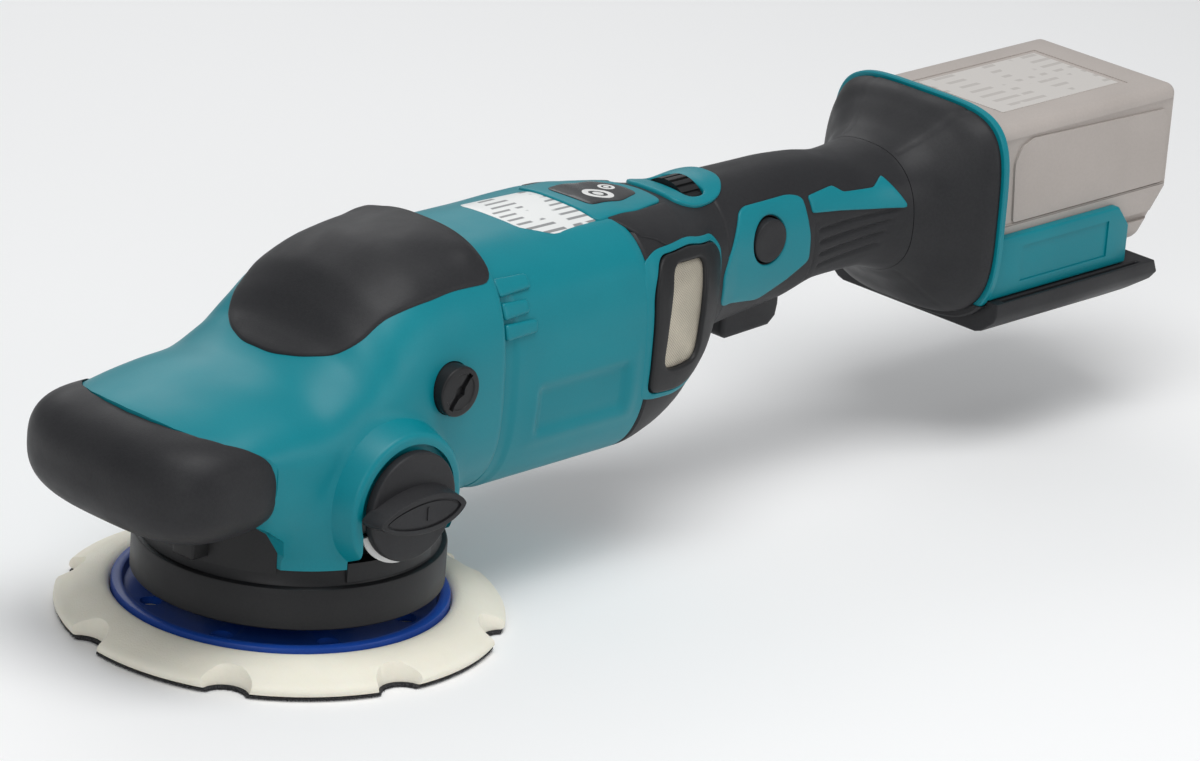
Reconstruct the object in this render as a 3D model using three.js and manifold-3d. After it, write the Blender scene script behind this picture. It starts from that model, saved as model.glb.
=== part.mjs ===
// Cordless dual action polisher, in millimetres: +X runs from the nose to the battery, +Z is up,
// and the tool's left side faces -Y. Every piece is first placed about the drive spindle (x = 0,
// y = 0) with the pad's working face at z = 0. The whole group then moves along X, so the frame's
// origin is the middle of the footprint.
import * as THREE from "three";
import { mergeVertices } from "three/addons/utils/BufferGeometryUtils.js";
import Module from "manifold-3d";

const wasm = await Module();
wasm.setup();

// ---------------------------------------------------------------- driving sizes
const GAP = 0.3; // clearance between pieces that stay put
const RUN = 0.4; // clearance round pieces that turn or slide
const FAR = 400; // longer than any piece, for through cuts

const PAD_RADIUS = 82.5;
const PAD_NOTCHES = 8;
const NOTCH_RADIUS = 8.5;
const NOTCH_PHASE = 34; // degrees
const HOOK_THICK = 1.2;
const HUB_RADIUS = 62;
const PAD_BORE = 12; // hole that lets a hex key reach the pad bolt
const VENT_HOLES = 8;

const ORBIT = 5.5; // full width of the orbit
const ECCENTRIC = ORBIT / 2;
const TOOTH_MODULE = 1.1;
const PLANET_TEETH = 44;
const RING_TEETH = 49;
const PINION_TEETH = 12;
const GEAR_TEETH = 37;

const SKIRT_RADIUS = 57.5;
const SKIRT_LOW = 16;
const SKIRT_TOP = 32;
const COVER_LOW = 38.3; // lower edge of the head cover's lobes
const LOBE_RADIUS = 56;
const LOBE_WALL = 6;
const WELL_RADIUS = LOBE_RADIUS - LOBE_WALL; // open well inside the lobes
const SEAM_X = 59.5; // joint between head cover and motor housing

const MOTOR_Z = 84.4;
const STATOR_RADIUS = 26;
const ROTOR_RADIUS = 14.5;
const SHAFT_RADIUS = 4;
const WALL = 3; // housing wall
const SKIN = 2; // soft overmould thickness

const KNOB = { x: 0, z: 61, radius: 20.5 };
const PLUG = { x: 30, z: 95, radius: 9.5 };
const DIAL = { x: 190.5, z: 117.5, radius: 13.5, half: 5 };
const LOCK = { x: 222, z: 106, radius: 8.7 };
const TRIGGER = { from: 213, to: 245, half: 10.5, low: 63, top: 84, travel: 6 };

const DOCK_X = 331; // rear end of the flared dock
const RIM_THICK = 3;
const BATTERY_FROM = DOCK_X + RIM_THICK + 1;
const BATTERY_TO = 446;
const BATTERY_HALF = 37.5;
const BATTERY_LOW = 70.3;
const BATTERY_TOP = 134;
const BATTERY_SPLIT = 92;
const CELL_FLOOR = BATTERY_LOW + 17.7; // floor of the room for the cells
const TRAY_TO = 418;

// Stations of the outer skins: x, half width, top, bottom, exponents above and below, mid height.
const HEAD = [
  [-88, 34, 94.2, 68, 2.3, 2.6, 80],
  [-80, 42, 97.2, 65, 2.3, 2.6, 80],
  [-62, 46.5, 100, 60, 2.3, 2.6, 80],
  [-45, 48.3, 103, 50, 2.3, 2.6, 78],
  [-30, 49.5, 104.5, 41, 2.3, 2.6, 76],
  [-12, 50, 113, 38, 2.4, 2.6, 76],
  [-2, 50, 123.5, 38, 2.4, 2.6, 76],
  [8, 50, 132, 38, 2.5, 2.6, 76],
  [26, 49, 139, 38, 2.6, 2.6, 76],
  [42, 47.5, 140.5, 39, 2.7, 2.7, 80],
  [SEAM_X, 46, 140, 40, 2.8, 2.8, 84],
];
const BODY = [
  [SEAM_X + GAP, 44.5, 134.5, 37.4, 3.0, 2.8, 84.4],
  [138, 44.5, 133.6, 37.6, 3.0, 2.8, 84.4],
  [150, 44, 132, 41, 3.0, 2.8, 84.4],
  [160, 42.8, 131, 46.5, 2.8, 2.8, 85.5],
  [170, 39.8, 129.7, 55, 2.7, 2.7, 87.5],
  [178, 35.6, 128.3, 61, 2.6, 2.6, 91],
  [190, 28, 127.4, 66.5, 2.4, 2.4, 97],
  [204, 24, 129.3, 69.5, 2.4, 2.4, 99],
  [240, 22, 129.2, 73, 2.4, 2.4, 99],
  [260, 22, 127.8, 78, 2.4, 2.4, 99],
  [282, 23.6, 124.6, 78.5, 2.4, 2.4, 98.6],
  [298, 27, 125, 75, 2.4, 2.4, 98],
  [309, 31, 129, 68, 2.6, 2.5, 97],
  [DOCK_X - 12, BATTERY_HALF + 1.5, BATTERY_TOP + 2, BATTERY_LOW - 11.3, 3.0, 2.8, 95],
  [DOCK_X - 6, BATTERY_HALF + 6.1, BATTERY_TOP + 6, BATTERY_LOW - 15.3, 3.6, 3.0, 95],
  [DOCK_X, BATTERY_HALF + 8.1, BATTERY_TOP + 7.3, BATTERY_LOW - 17.3, 4.5, 3.2, 95],
];
// The front grip: a blunt bar across the nose, rounded at both ends.
const GRIP = { x: -69, z: 74.5, deep: 31.5, half: 48.6, high: 21.8, sweep: 1, end: 3.2, power: 2.65 };

// Outlines drawn on the sides of the body, as x, z.
const VENT_FRAME = [
  [137, 67],
  [138.2, 106],
  [149, 122.5],
  [174, 121.5],
  [186, 113],
  [180, 92],
  [171, 77],
  [160, 66.5],
];
const VENT_SCREEN = [
  [144.2, 77.5],
  [148.4, 115.5],
  [173.5, 111.5],
  [163.8, 80.5],
];
const LOCK_PLATE = [
  [198, 121],
  [210, 121.4],
  [241, 118],
  [244.5, 102],
  [246, 93],
  [235, 87],
  [221, 81.5],
  [197, 85],
  [193.5, 102],
];
const SIDE_STRIP = [
  [248.5, 119],
  [288, 117.2],
  [296.5, 106],
  [274, 111.5],
  [270, 108.6],
  [257, 110.8],
];

// ---------------------------------------------------------------- finishes
const FINISH = {
  teal: { color: 0x087f8c, roughness: 0.42, metalness: 0 },
  charcoal: { color: 0x2b2b2d, roughness: 0.6, metalness: 0 },
  black: { color: 0x161617, roughness: 0.5, metalness: 0 },
  cream: { color: 0xe6e0cb, roughness: 0.75, metalness: 0 },
  blue: { color: 0x123c8c, roughness: 0.4, metalness: 0 },
  white: { color: 0xf2f2f0, roughness: 0.5, metalness: 0 },
  grey: { color: 0xb0a8a2, roughness: 0.5, metalness: 0 },
  steel: { color: 0x9a9da1, roughness: 0.3, metalness: 1 },
  cast: { color: 0xa8aaad, roughness: 0.5, metalness: 1 },
  mesh: { color: 0xa79f8e, roughness: 0.4, metalness: 0.8 },
  copper: { color: 0xa85f35, roughness: 0.4, metalness: 0.8 },
  green: { color: 0x1d5c34, roughness: 0.5, metalness: 0 },
  cell: { color: 0x3f7f55, roughness: 0.4, metalness: 0 },
};

// ---------------------------------------------------------------- solids
const group = new THREE.Group();

// A closed geometry as a solid whose faces point outwards.
function solidOf(geometry) {
  const loose = geometry.index ? geometry.toNonIndexed() : geometry;
  const bare = new THREE.BufferGeometry();
  bare.setAttribute("position", loose.getAttribute("position"));
  const merged = mergeVertices(bare, 1e-3);
  const vertProperties = new Float32Array(merged.attributes.position.array);
  const triVerts = new Uint32Array(merged.index.array);
  const made = new wasm.Manifold(new wasm.Mesh({ numProp: 3, vertProperties, triVerts }));
  if (made.volume() >= 0) return made;
  for (let i = 0; i < triVerts.length; i += 3) {
    const kept = triVerts[i];
    triVerts[i] = triVerts[i + 1];
    triVerts[i + 1] = kept;
  }
  return new wasm.Manifold(new wasm.Mesh({ numProp: 3, vertProperties, triVerts }));
}

function geometryOf(solid) {
  const mesh = solid.getMesh();
  const points = new Float32Array(mesh.numVert * 3);
  for (let i = 0; i < mesh.numVert; i++) {
    points.set(mesh.vertProperties.subarray(i * mesh.numProp, i * mesh.numProp + 3), i * 3);
  }
  const geometry = new THREE.BufferGeometry();
  geometry.setAttribute("position", new THREE.BufferAttribute(points, 3));
  geometry.setIndex(new THREE.BufferAttribute(mesh.triVerts, 1));
  geometry.computeVertexNormals();
  return geometry;
}

// Adds one named piece to the group.
function piece(name, finish, solid) {
  const mesh = new THREE.Mesh(geometryOf(solid), new THREE.MeshStandardMaterial(FINISH[finish]));
  mesh.name = name;
  group.add(mesh);
}

// The largest separate body of a solid, so a cut leaves no loose sliver behind.
function largest(solid) {
  return solid.decompose().reduce((best, one) => (one.volume() > best.volume() ? one : best));
}

const join = (...solids) => solids.reduce((sum, one) => sum.add(one));
const cut = (solid, ...tools) => tools.reduce((rest, tool) => rest.subtract(tool), solid);

function box(x0, x1, y0, y1, z0, z1) {
  const geometry = new THREE.BoxGeometry(x1 - x0, y1 - y0, z1 - z0);
  geometry.translate((x0 + x1) / 2, (y0 + y1) / 2, (z0 + z1) / 2);
  return solidOf(geometry);
}

// Turns a shape drawn along +Z so that it runs along the named axis.
function along(geometry, axis) {
  const X = new THREE.Vector3(1, 0, 0);
  const Y = new THREE.Vector3(0, 1, 0);
  const Z = new THREE.Vector3(0, 0, 1);
  const basis = new THREE.Matrix4();
  if (axis === "x") basis.makeBasis(Y, Z, X);
  if (axis === "y") basis.makeBasis(X, Z, Y.clone().negate());
  return geometry.applyMatrix4(basis);
}

// A round bar along an axis; (a, b) is its centre across that axis: x,y or y,z or x,z.
function rod(axis, a, b, radius, from, to, sides = 20, farRadius = radius) {
  const geometry = new THREE.CylinderGeometry(farRadius, radius, to - from, sides);
  geometry.rotateX(Math.PI / 2);
  if (axis === "z") geometry.translate(a, b, (from + to) / 2);
  if (axis === "x") {
    along(geometry, "x");
    geometry.translate((from + to) / 2, a, b);
  }
  if (axis === "y") {
    geometry.rotateX(Math.PI / 2);
    geometry.translate(a, (from + to) / 2, b);
  }
  return solidOf(geometry);
}

function tube(axis, a, b, outer, inner, from, to, sides = 16) {
  return cut(rod(axis, a, b, outer, from, to, sides), rod(axis, a, b, inner, from - 1, to + 1, sides));
}

// A straight prism: its outline is x,y or y,z or x,z for the axis z, x or y.
function prism(axis, outline, from, to) {
  const shape = new THREE.Shape(outline.map(([a, b]) => new THREE.Vector2(a, b)));
  const geometry = new THREE.ExtrudeGeometry(shape, { depth: to - from, bevelEnabled: false });
  if (axis === "y") {
    along(geometry, "y");
    geometry.translate(0, to, 0);
    return solidOf(geometry);
  }
  along(geometry, axis);
  geometry.translate(axis === "x" ? from : 0, 0, axis === "z" ? from : 0);
  return solidOf(geometry);
}

// A body of revolution about a vertical line, from a closed profile of radius, height.
function turned(x, y, profile, sides = 30) {
  const points = [...profile, profile[0]].map(([r, z]) => new THREE.Vector2(r, z));
  const geometry = new THREE.LatheGeometry(points, sides);
  geometry.rotateX(Math.PI / 2);
  geometry.translate(x, y, 0);
  return solidOf(geometry);
}

// An outline moved outwards from its own middle by a small distance.
function grown(outline, by) {
  const cx = outline.reduce((sum, p) => sum + p[0], 0) / outline.length;
  const cz = outline.reduce((sum, p) => sum + p[1], 0) / outline.length;
  return outline.map(([x, z]) => {
    const away = Math.hypot(x - cx, z - cz);
    return [x + ((x - cx) / away) * by, z + ((z - cz) / away) * by];
  });
}

// Slope of one column of a station table at station i, kept from overshooting.
function slope(table, i, column) {
  const rise = (k) => (table[k + 1][column] - table[k][column]) / (table[k + 1][0] - table[k][0]);
  if (i === 0) return rise(0);
  if (i === table.length - 1) return rise(i - 1);
  const before = rise(i - 1);
  const after = rise(i);
  return before * after <= 0 ? 0 : (2 * before * after) / (before + after);
}

// One station read off a table at any x between its ends.
function stationAt(table, x) {
  let i = 0;
  while (i < table.length - 2 && x > table[i + 1][0]) i++;
  const width = table[i + 1][0] - table[i][0];
  const t = Math.min(1, Math.max(0, (x - table[i][0]) / width));
  const station = [x];
  for (let column = 1; column < table[0].length; column++) {
    const a = table[i][column];
    const b = table[i + 1][column];
    const ma = slope(table, i, column) * width;
    const mb = slope(table, i + 1, column) * width;
    const bend = (2 * t ** 3 - 3 * t ** 2 + 1) * a + (3 * t ** 2 - 2 * t ** 3) * b;
    station.push(bend + (t ** 3 - 2 * t ** 2 + t) * ma + (t ** 3 - t ** 2) * mb);
  }
  return station;
}

const power = (value, exponent) => Math.sign(value) * Math.abs(value) ** exponent;

// One ring of a skin, sunk by inset below the outer surface.
function ring(station, inset, sides) {
  const [x, half, top, low, above, below, mid] = station;
  const points = [];
  for (let i = 0; i < sides; i++) {
    const angle = (i / sides) * 2 * Math.PI;
    const exponent = 2 / (Math.sin(angle) >= 0 ? above : below);
    const height = Math.sin(angle) >= 0 ? top - inset - mid : mid - low - inset;
    const y = (half - inset) * power(Math.cos(angle), exponent);
    points.push([x, y, mid + height * power(Math.sin(angle), exponent)]);
  }
  return points;
}

// Closes a run of rings, all with the same number of points, into one solid.
function skinned(rings) {
  const sides = rings[0].length;
  const points = rings.flat();
  const faces = [];
  for (let r = 0; r < rings.length - 1; r++) {
    for (let i = 0; i < sides; i++) {
      const a = r * sides + i;
      const b = r * sides + ((i + 1) % sides);
      faces.push(a, b, b + sides, a, b + sides, a + sides);
    }
  }
  for (const r of [0, rings.length - 1]) {
    const middle = points.length;
    const sum = rings[r].reduce((s, p) => [s[0] + p[0], s[1] + p[1], s[2] + p[2]], [0, 0, 0]);
    points.push(sum.map((value) => value / sides));
    for (let i = 0; i < sides; i++) {
      const a = r * sides + i;
      const b = r * sides + ((i + 1) % sides);
      faces.push(...(r === 0 ? [middle, b, a] : [middle, a, b]));
    }
  }
  const geometry = new THREE.BufferGeometry();
  geometry.setAttribute("position", new THREE.Float32BufferAttribute(points.flat(), 3));
  geometry.setIndex(faces);
  return solidOf(geometry);
}

// The whole solid under a skin, sunk by inset.
function under(table, inset, sides = 20) {
  return skinned(table.map((station) => ring(station, inset, sides)));
}

// A rougher version of a station table, for hollows nobody sees.
const rough = (table) => table.filter((station, i) => i % 2 === 0 || i === table.length - 1);

// A station table whose ends reach 2 mm further, so that a hollow opens through both ends.
function stretched(table) {
  const first = [table[0][0] - 2, ...table[0].slice(1)];
  const last = [table[table.length - 1][0] + 2, ...table[table.length - 1].slice(1)];
  return [first, ...rough(table).slice(1, -1), last];
}

// The part of a solid between two x positions.
const between = (solid, from, to) => solid.intersect(box(from, to, -FAR, FAR, -FAR, FAR));

// Half width of a skin at a height, on the far side of which a piece stands proud.
function reach(table, x, z) {
  const [, half, top, low, above, below, mid] = stationAt(table, x);
  const exponent = z >= mid ? above : below;
  const share = z >= mid ? (z - mid) / (top - mid) : (mid - z) / (mid - low);
  return half * (1 - share ** exponent) ** (1 / exponent);
}

// ---------------------------------------------------------------- pad and orbit drive
const PAD_X = -ECCENTRIC;

const notchTools = [...Array(PAD_NOTCHES).keys()].map((i) => {
  const angle = ((NOTCH_PHASE + (i * 360) / PAD_NOTCHES) * Math.PI) / 180;
  const r = PAD_RADIUS + 1.5;
  const at = [PAD_X + r * Math.cos(angle), r * Math.sin(angle)];
  return rod("z", ...at, NOTCH_RADIUS, -1, 20, 10);
});

const foamOuter = turned(PAD_X, 0, [
  [PAD_BORE, HOOK_THICK + GAP],
  [PAD_RADIUS - 1, HOOK_THICK + GAP],
  [PAD_RADIUS, 3.2],
  [PAD_RADIUS - 0.5, 5.2],
  [HUB_RADIUS + 13, 10.8],
  [HUB_RADIUS + 4.5, 11.4],
  [HUB_RADIUS + 1.5, 10.2],
  [HUB_RADIUS + GAP, 8],
  [HUB_RADIUS + GAP, 5.5],
  [PAD_BORE, 5.5],
]);
piece("foam_pad", "cream", cut(foamOuter, ...notchTools));
const hookBlank = tube("z", PAD_X, 0, PAD_RADIUS - 2.5, PAD_BORE, 0, HOOK_THICK, 36);
piece("hook_face", "black", cut(hookBlank, ...notchTools));

const hubBlank = turned(PAD_X, 0, [
  [4.4, 9.5],
  [9.5, 9.5],
  [9.5, 5.8],
  [HUB_RADIUS, 5.8],
  [HUB_RADIUS, 11],
  [HUB_RADIUS - 1, 11.8],
  [HUB_RADIUS - 4, 11.8],
  [HUB_RADIUS - 5, 8.6],
  [28, 8.6],
  [23, 14],
  [4.4, 14],
]);
const hubHoles = [...Array(VENT_HOLES).keys()].map((i) => {
  const angle = ((i + 0.5) / VENT_HOLES) * 2 * Math.PI;
  return rod("z", PAD_X + 50 * Math.cos(angle), 50 * Math.sin(angle), 4, 4, 10, 8);
});
piece("pad_hub", "blue", cut(hubBlank, ...hubHoles));

// A wheel outline with pointed teeth: tip and root are radii, and turn is in tooth pitches.
function toothedOutline(x, teeth, tip, root, turn, share = 0.4) {
  const outline = [];
  for (let i = 0; i < teeth; i++) {
    for (const [place, r] of [
      [-share / 2, root],
      [0, tip],
      [share / 2, root],
    ]) {
      const angle = ((i + turn + place) / teeth) * 2 * Math.PI;
      outline.push([x + r * Math.cos(angle), r * Math.sin(angle)]);
    }
  }
  return outline;
}

const PLANET_RADIUS = (TOOTH_MODULE * PLANET_TEETH) / 2;
const RING_RADIUS = (TOOTH_MODULE * RING_TEETH) / 2;
const TIP = 0.45; // tooth height above the pitch circle
const ROOT = 0.8; // tooth depth below it
const planetTeeth = [PLANET_RADIUS + TIP, PLANET_RADIUS - ROOT];
const planet = prism("z", toothedOutline(PAD_X, PLANET_TEETH, ...planetTeeth, 0), 19.5, 25.5);
const padShaft = rod("z", PAD_X, 0, 7, 14.3, 37.7);
piece("pad_spindle", "steel", cut(join(planet, padShaft), rod("z", PAD_X, 0, 4.3, 13, 31, 16)));

const boltHead = rod("z", PAD_X, 0, 8, 6.2, 9.2, 20);
const boltShank = rod("z", PAD_X, 0, 4, 9, 30, 16);
piece("pad_bolt", "steel", cut(join(boltHead, boltShank), rod("z", PAD_X, 0, 3, 5, 8, 6)));

const ringOutline = toothedOutline(0, RING_TEETH, RING_RADIUS - TIP, RING_RADIUS + ROOT, 0);
const ringTeethHole = prism("z", ringOutline, 18, 28);
const ringBlank = join(
  rod("z", 0, 0, 31.5, 19, 26, 32),
  tube("z", 0, 0, SKIRT_RADIUS - 2.5 - GAP, 30, 21.5, 24, 36),
);
const PIN_Y = -46.6;
const PIN_RADIUS = 1.8;
const ringPinHole = rod("z", 0, PIN_Y, PIN_RADIUS + 0.6, 18, 28, 10);
piece("ring_gear", "steel", cut(ringBlank, ringTeethHole, ringPinHole));

const weightBlank = join(
  rod("z", PAD_X, 0, 17, 28, 40, 32),
  rod("z", 0, 0, 17, 38, 46, 32),
  cut(rod("z", 0, 0, 41.5, 28, 40, 28), box(-60, 6, -60, 60, 20, 50)),
);
const weightCuts = [
  rod("z", PAD_X, 0, 13, 27, 38.3, 24),
  rod("z", 0, 0, 6 + GAP, 37, 47, 20),
];
piece("balance_weight", "cast", cut(weightBlank, ...weightCuts));
piece("eccentric_bearing", "steel", tube("z", PAD_X, 0, 13 - GAP, 7 + GAP, 28.3, 38));
const spindleBar = join(rod("z", 0, 0, 6, 40, 86, 20), rod("z", 0, 0, 4, 85, 103, 20));
piece("drive_spindle", "steel", spindleBar);

// ---------------------------------------------------------------- bevel gears
const PITCH_OUT = 24; // pitch radius of the large gear
const PINION_OUT = (PITCH_OUT * PINION_TEETH) / GEAR_TEETH;
const FACE_IN = 0.66; // inner ends of the teeth, as a share of the way out from the apex

// A bevel gear on +Z whose apex is the origin: the teeth stand up by rise off the pitch cone.
function bevel(teeth, radius, apexDrop, rise, bore, back, turn) {
  const share = 0.36;
  const cone = Math.hypot(radius, apexDrop);
  const normal = [apexDrop / cone, radius / cone]; // off the pitch cone, towards the mating gear
  const rings = [];
  const steps = [
    [-share / 2, -1.25],
    [0, 1],
    [share / 2, -1.25],
  ];
  for (let i = 0; i < teeth; i++) {
    for (const [place, out] of steps) {
      const angle = ((i + turn + place) / teeth) * 2 * Math.PI;
      const at = (r, z) => [r * Math.cos(angle), r * Math.sin(angle), z];
      const outer = [radius + normal[0] * rise * out, -apexDrop + normal[1] * rise * out];
      const inner = outer.map((value) => value * FACE_IN);
      const profile = [
        at(radius + back[0], -apexDrop - back[1]),
        at(...outer),
        at(...inner),
        at(bore, -apexDrop - back[1]),
      ];
      rings.push(profile);
    }
  }
  return hooped(rings);
}

// Closes a run of profiles round into one solid, the last joined to the first.
function hooped(rings) {
  const sides = rings[0].length;
  const faces = [];
  for (let r = 0; r < rings.length; r++) {
    const next = (r + 1) % rings.length;
    for (let i = 0; i < sides; i++) {
      const j = (i + 1) % sides;
      faces.push(r * sides + i, next * sides + i, next * sides + j);
      faces.push(r * sides + i, next * sides + j, r * sides + j);
    }
  }
  const geometry = new THREE.BufferGeometry();
  geometry.setAttribute("position", new THREE.Float32BufferAttribute(rings.flat(2), 3));
  geometry.setIndex(faces);
  return solidOf(geometry);
}

const wheel = bevel(GEAR_TEETH, PITCH_OUT, PINION_OUT, 0.8, 6 + GAP, [0.8, 3.4], 0.5);
piece("bevel_gear", "steel", wheel.translate([0, 0, MOTOR_Z]));
// The pinion's apex is the same point, and its axis runs back along +X.
const pinion = bevel(PINION_TEETH, PINION_OUT, PITCH_OUT, 0.8, SHAFT_RADIUS + GAP - 1, [-0.4, 2.4], 0);
piece("bevel_pinion", "steel", pinion.rotate([0, -90, 0]).translate([0, 0, MOTOR_Z]));

// ---------------------------------------------------------------- gear case and bearings
const caseOuter = join(
  rod("z", 0, 0, WELL_RADIUS - 0.8, 48, 52, 20),
  rod("z", 0, 0, 34, 50, 94, 20),
  rod("x", 0, MOTOR_Z, 19.5, 20, 57.5, 16),
  rod("z", 0, 0, 14, 90, 105, 16),
);
const caseInner = join(
  rod("z", 0, 0, 31, 61, 92.5, 20),
  rod("z", 0, 0, 15.5 + GAP, 47, 62, 16),
  rod("x", 0, MOTOR_Z, 16, 20, 45, 16),
  rod("x", 0, MOTOR_Z, 11 + GAP, 44, 60, 16),
  rod("z", 0, 0, 9 + GAP, 90, 103.5, 16),
);
piece("gear_case", "cast", cut(caseOuter, caseInner));
piece("spindle_bearing_lower", "steel", tube("z", 0, 0, 15.5, 6 + GAP, 50, 60.5));
piece("spindle_bearing_upper", "steel", tube("z", 0, 0, 9, 4 + GAP, 92, 102));
piece("motor_bearing_front", "steel", tube("x", 0, MOTOR_Z, 11, SHAFT_RADIUS + GAP, 48, 56.5));
piece("motor_bearing_rear", "steel", tube("x", 0, MOTOR_Z, 8, SHAFT_RADIUS + GAP, 127, 133));

// ---------------------------------------------------------------- motor
const shaftFront = rod("x", 0, MOTOR_Z, SHAFT_RADIUS - 1, 17.5, 28, 16);
piece("motor_shaft", "steel", join(shaftFront, rod("x", 0, MOTOR_Z, SHAFT_RADIUS, 27, 135, 16)));
piece("rotor", "cast", tube("x", 0, MOTOR_Z, ROTOR_RADIUS, SHAFT_RADIUS + GAP, 82, 118));
const slots = [...Array(6).keys()].map((i) => {
  const angle = (i / 6) * 2 * Math.PI;
  const y = 20 * Math.cos(angle);
  const z = MOTOR_Z + 20 * Math.sin(angle);
  return rod("x", y, z, 2.6, 70, 130, 8);
});
const statorBlank = tube("x", 0, MOTOR_Z, STATOR_RADIUS, ROTOR_RADIUS + 0.6, 80, 120, 24);
piece("motor_stator", "copper", cut(statorBlank, ...slots));
const fanDisc = tube("x", 0, MOTOR_Z, 32, SHAFT_RADIUS + GAP, 63, 65, 32);
const fanHub = tube("x", 0, MOTOR_Z, 9, SHAFT_RADIUS + GAP, 63, 75, 16);
const blade = box(64.5, 74, -1, 1, 8, 31);
const blades = [...Array(9).keys()].map((i) =>
  blade.rotate([(i * 360) / 9, 0, 0]).translate([0, 0, MOTOR_Z]),
);
piece("motor_fan", "black", join(fanDisc, fanHub, ...blades));

// ---------------------------------------------------------------- head
const lobes = join(
  rod("z", 0, 0, LOBE_RADIUS, COVER_LOW, 66, 32),
  rod("z", 0, 0, LOBE_RADIUS, 66, 78, 32, LOBE_RADIUS - 7),
);
const knobBoss = rod("y", KNOB.x, KNOB.z, KNOB.radius + 6.5, -LOBE_RADIUS - 1.2, -30, 24);
const headSkin = under(HEAD, 0);
const headBlank = join(headSkin, lobes, knobBoss);
const headWell = join(
  between(under(stretched(HEAD), 5.5, 12), -66, SEAM_X + 1),
  rod("z", 0, 0, WELL_RADIUS + 0.4, 30, 58, 24),
);
const PAD_OUTLINE = [
  [-22.5, -8],
  [-22.5, 8],
  [-18, 19],
  [-11, 28],
  [-3, 33],
  [6, 34],
  [32, 36.5],
  [SEAM_X + 2, 37],
  [SEAM_X + 2, -37],
  [32, -36.5],
  [6, -34],
  [-3, -33],
  [-11, -28],
  [-18, -19],
];
const padPrism = (by) => prism("z", grown(PAD_OUTLINE, by), 100, FAR);
const padRecess = cut(padPrism(GAP), under(HEAD, SKIN + 0.6));
const POCKET_Y = WELL_RADIUS - 3;
const headCuts = [
  headWell,
  padRecess,
  box(-120, 120, -80, 80, 0, COVER_LOW), // flat lower edge
  box(-120, -43, -80, 80, 0, 55), // front notch over the skirt's web
  box(-19, 24, -FAR, -POCKET_Y, 0, 46), // pocket under the knob
  box(SEAM_X, 90, -80, 80, 0, FAR),
  rod("y", KNOB.x, KNOB.z, 5 + RUN, -LOBE_RADIUS - 14, -35, 20),
  rod("y", PLUG.x, PLUG.z, PLUG.radius + GAP, -70, -30, 24),
  rod("y", PLUG.x, PLUG.z, PLUG.radius + GAP, 30, 70, 24),
];
piece("head_cover", "teal", largest(cut(headBlank, ...headCuts)));
const padSkin = cut(under(HEAD, 0), under(HEAD, SKIN), box(SEAM_X - GAP, 90, -80, 80, 0, FAR));
piece("head_top_pad", "charcoal", largest(padSkin.intersect(padPrism(0))));

// The grip bar, one ring for each y, with ends that round off.
function gripRing(y) {
  const size = Math.max(1 - Math.abs(y / GRIP.half) ** GRIP.end, 0.0009) ** (1 / GRIP.end);
  const x = GRIP.x + GRIP.sweep * (y / 50) ** 2;
  return [...Array(24).keys()].map((i) => {
    const angle = (i / 24) * 2 * Math.PI;
    const dx = GRIP.deep * size * power(Math.cos(angle), 2 / GRIP.power);
    const dz = GRIP.high * size * power(Math.sin(angle), 2 / GRIP.power);
    return [x + dx, y, GRIP.z + dz];
  });
}
const gripPlaces = [-1, -0.985, -0.93, -0.8, -0.5, 0, 0.5, 0.8, 0.93, 0.985, 1];
const gripBlank = skinned(gripPlaces.map((share) => gripRing(share * GRIP.half)));
const gripCuts = [
  under(HEAD, -GAP),
  rod("z", 0, 0, LOBE_RADIUS + GAP, 0, 160, 36),
];
piece("front_grip", "charcoal", largest(cut(gripBlank, ...gripCuts)));

const skirtBlank = turned(0, 0, [
  [SKIRT_RADIUS - 2.5, SKIRT_LOW],
  [SKIRT_RADIUS, SKIRT_LOW],
  [SKIRT_RADIUS, SKIRT_TOP - 1],
  [SKIRT_RADIUS - 1, SKIRT_TOP],
  [SKIRT_RADIUS - 3, SKIRT_TOP - 1.5],
  [LOBE_RADIUS - 2.5, SKIRT_TOP + 0.5],
  [LOBE_RADIUS - 2.2, COVER_LOW - GAP],
  [WELL_RADIUS - GAP, COVER_LOW - GAP],
  [WELL_RADIUS - GAP, 47.7],
  [43, 47.7],
  [43, 30.5],
  [SKIRT_RADIUS - 2.5, 28],
]);
const frontWeb = tube("z", 0, 0, LOBE_RADIUS - 1, WELL_RADIUS + 0.6, 36, 55 - GAP, 32).intersect(
  box(-FAR, -43 - GAP, -FAR, FAR, 30, 60),
);
const knobShelf = rod("z", 0, 0, LOBE_RADIUS - 1, 36, 40.2, 32).intersect(
  box(-18.5, 23.5, -FAR, -POCKET_Y - GAP, 30, 60),
);
const skirtCuts = [
  rod("z", 0, PIN_Y, PIN_RADIUS + RUN, 20, 60, 8),
  box(SEAM_X, FAR, -FAR, FAR, SKIRT_TOP + 1, 60), // clears the motor housing
];
piece("skirt", "black", largest(cut(join(skirtBlank, frontWeb, knobShelf), ...skirtCuts)));
piece("mode_lock_pin", "steel", rod("z", 0, PIN_Y, PIN_RADIUS, 26.5, 46.5, 12));

const knobFace = -LOBE_RADIUS - 2.6; // back of the knob's disc
const knobBody = join(
  rod("y", KNOB.x, KNOB.z, 5, knobFace - 3.4, -40, 20),
  rod("y", KNOB.x, KNOB.z, KNOB.radius, knobFace - 4.4, knobFace, 24),
);
const lever = prism(
  "y",
  [
    [-25, 59.5],
    [-12, 67.5],
    [12, 68.5],
    [20, 64.5],
    [20, 57.5],
    [12, 53.5],
    [-12, 54.5],
    [-25, 57.5],
  ],
  knobFace - 12,
  knobFace - 4,
);
piece("mode_knob", "charcoal", join(knobBody, lever));
const bandRadius = KNOB.radius + 2;
piece("knob_ring", "white", tube("y", KNOB.x, KNOB.z, bandRadius, 9, knobFace + GAP, knobFace + 1.1, 24));

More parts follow.
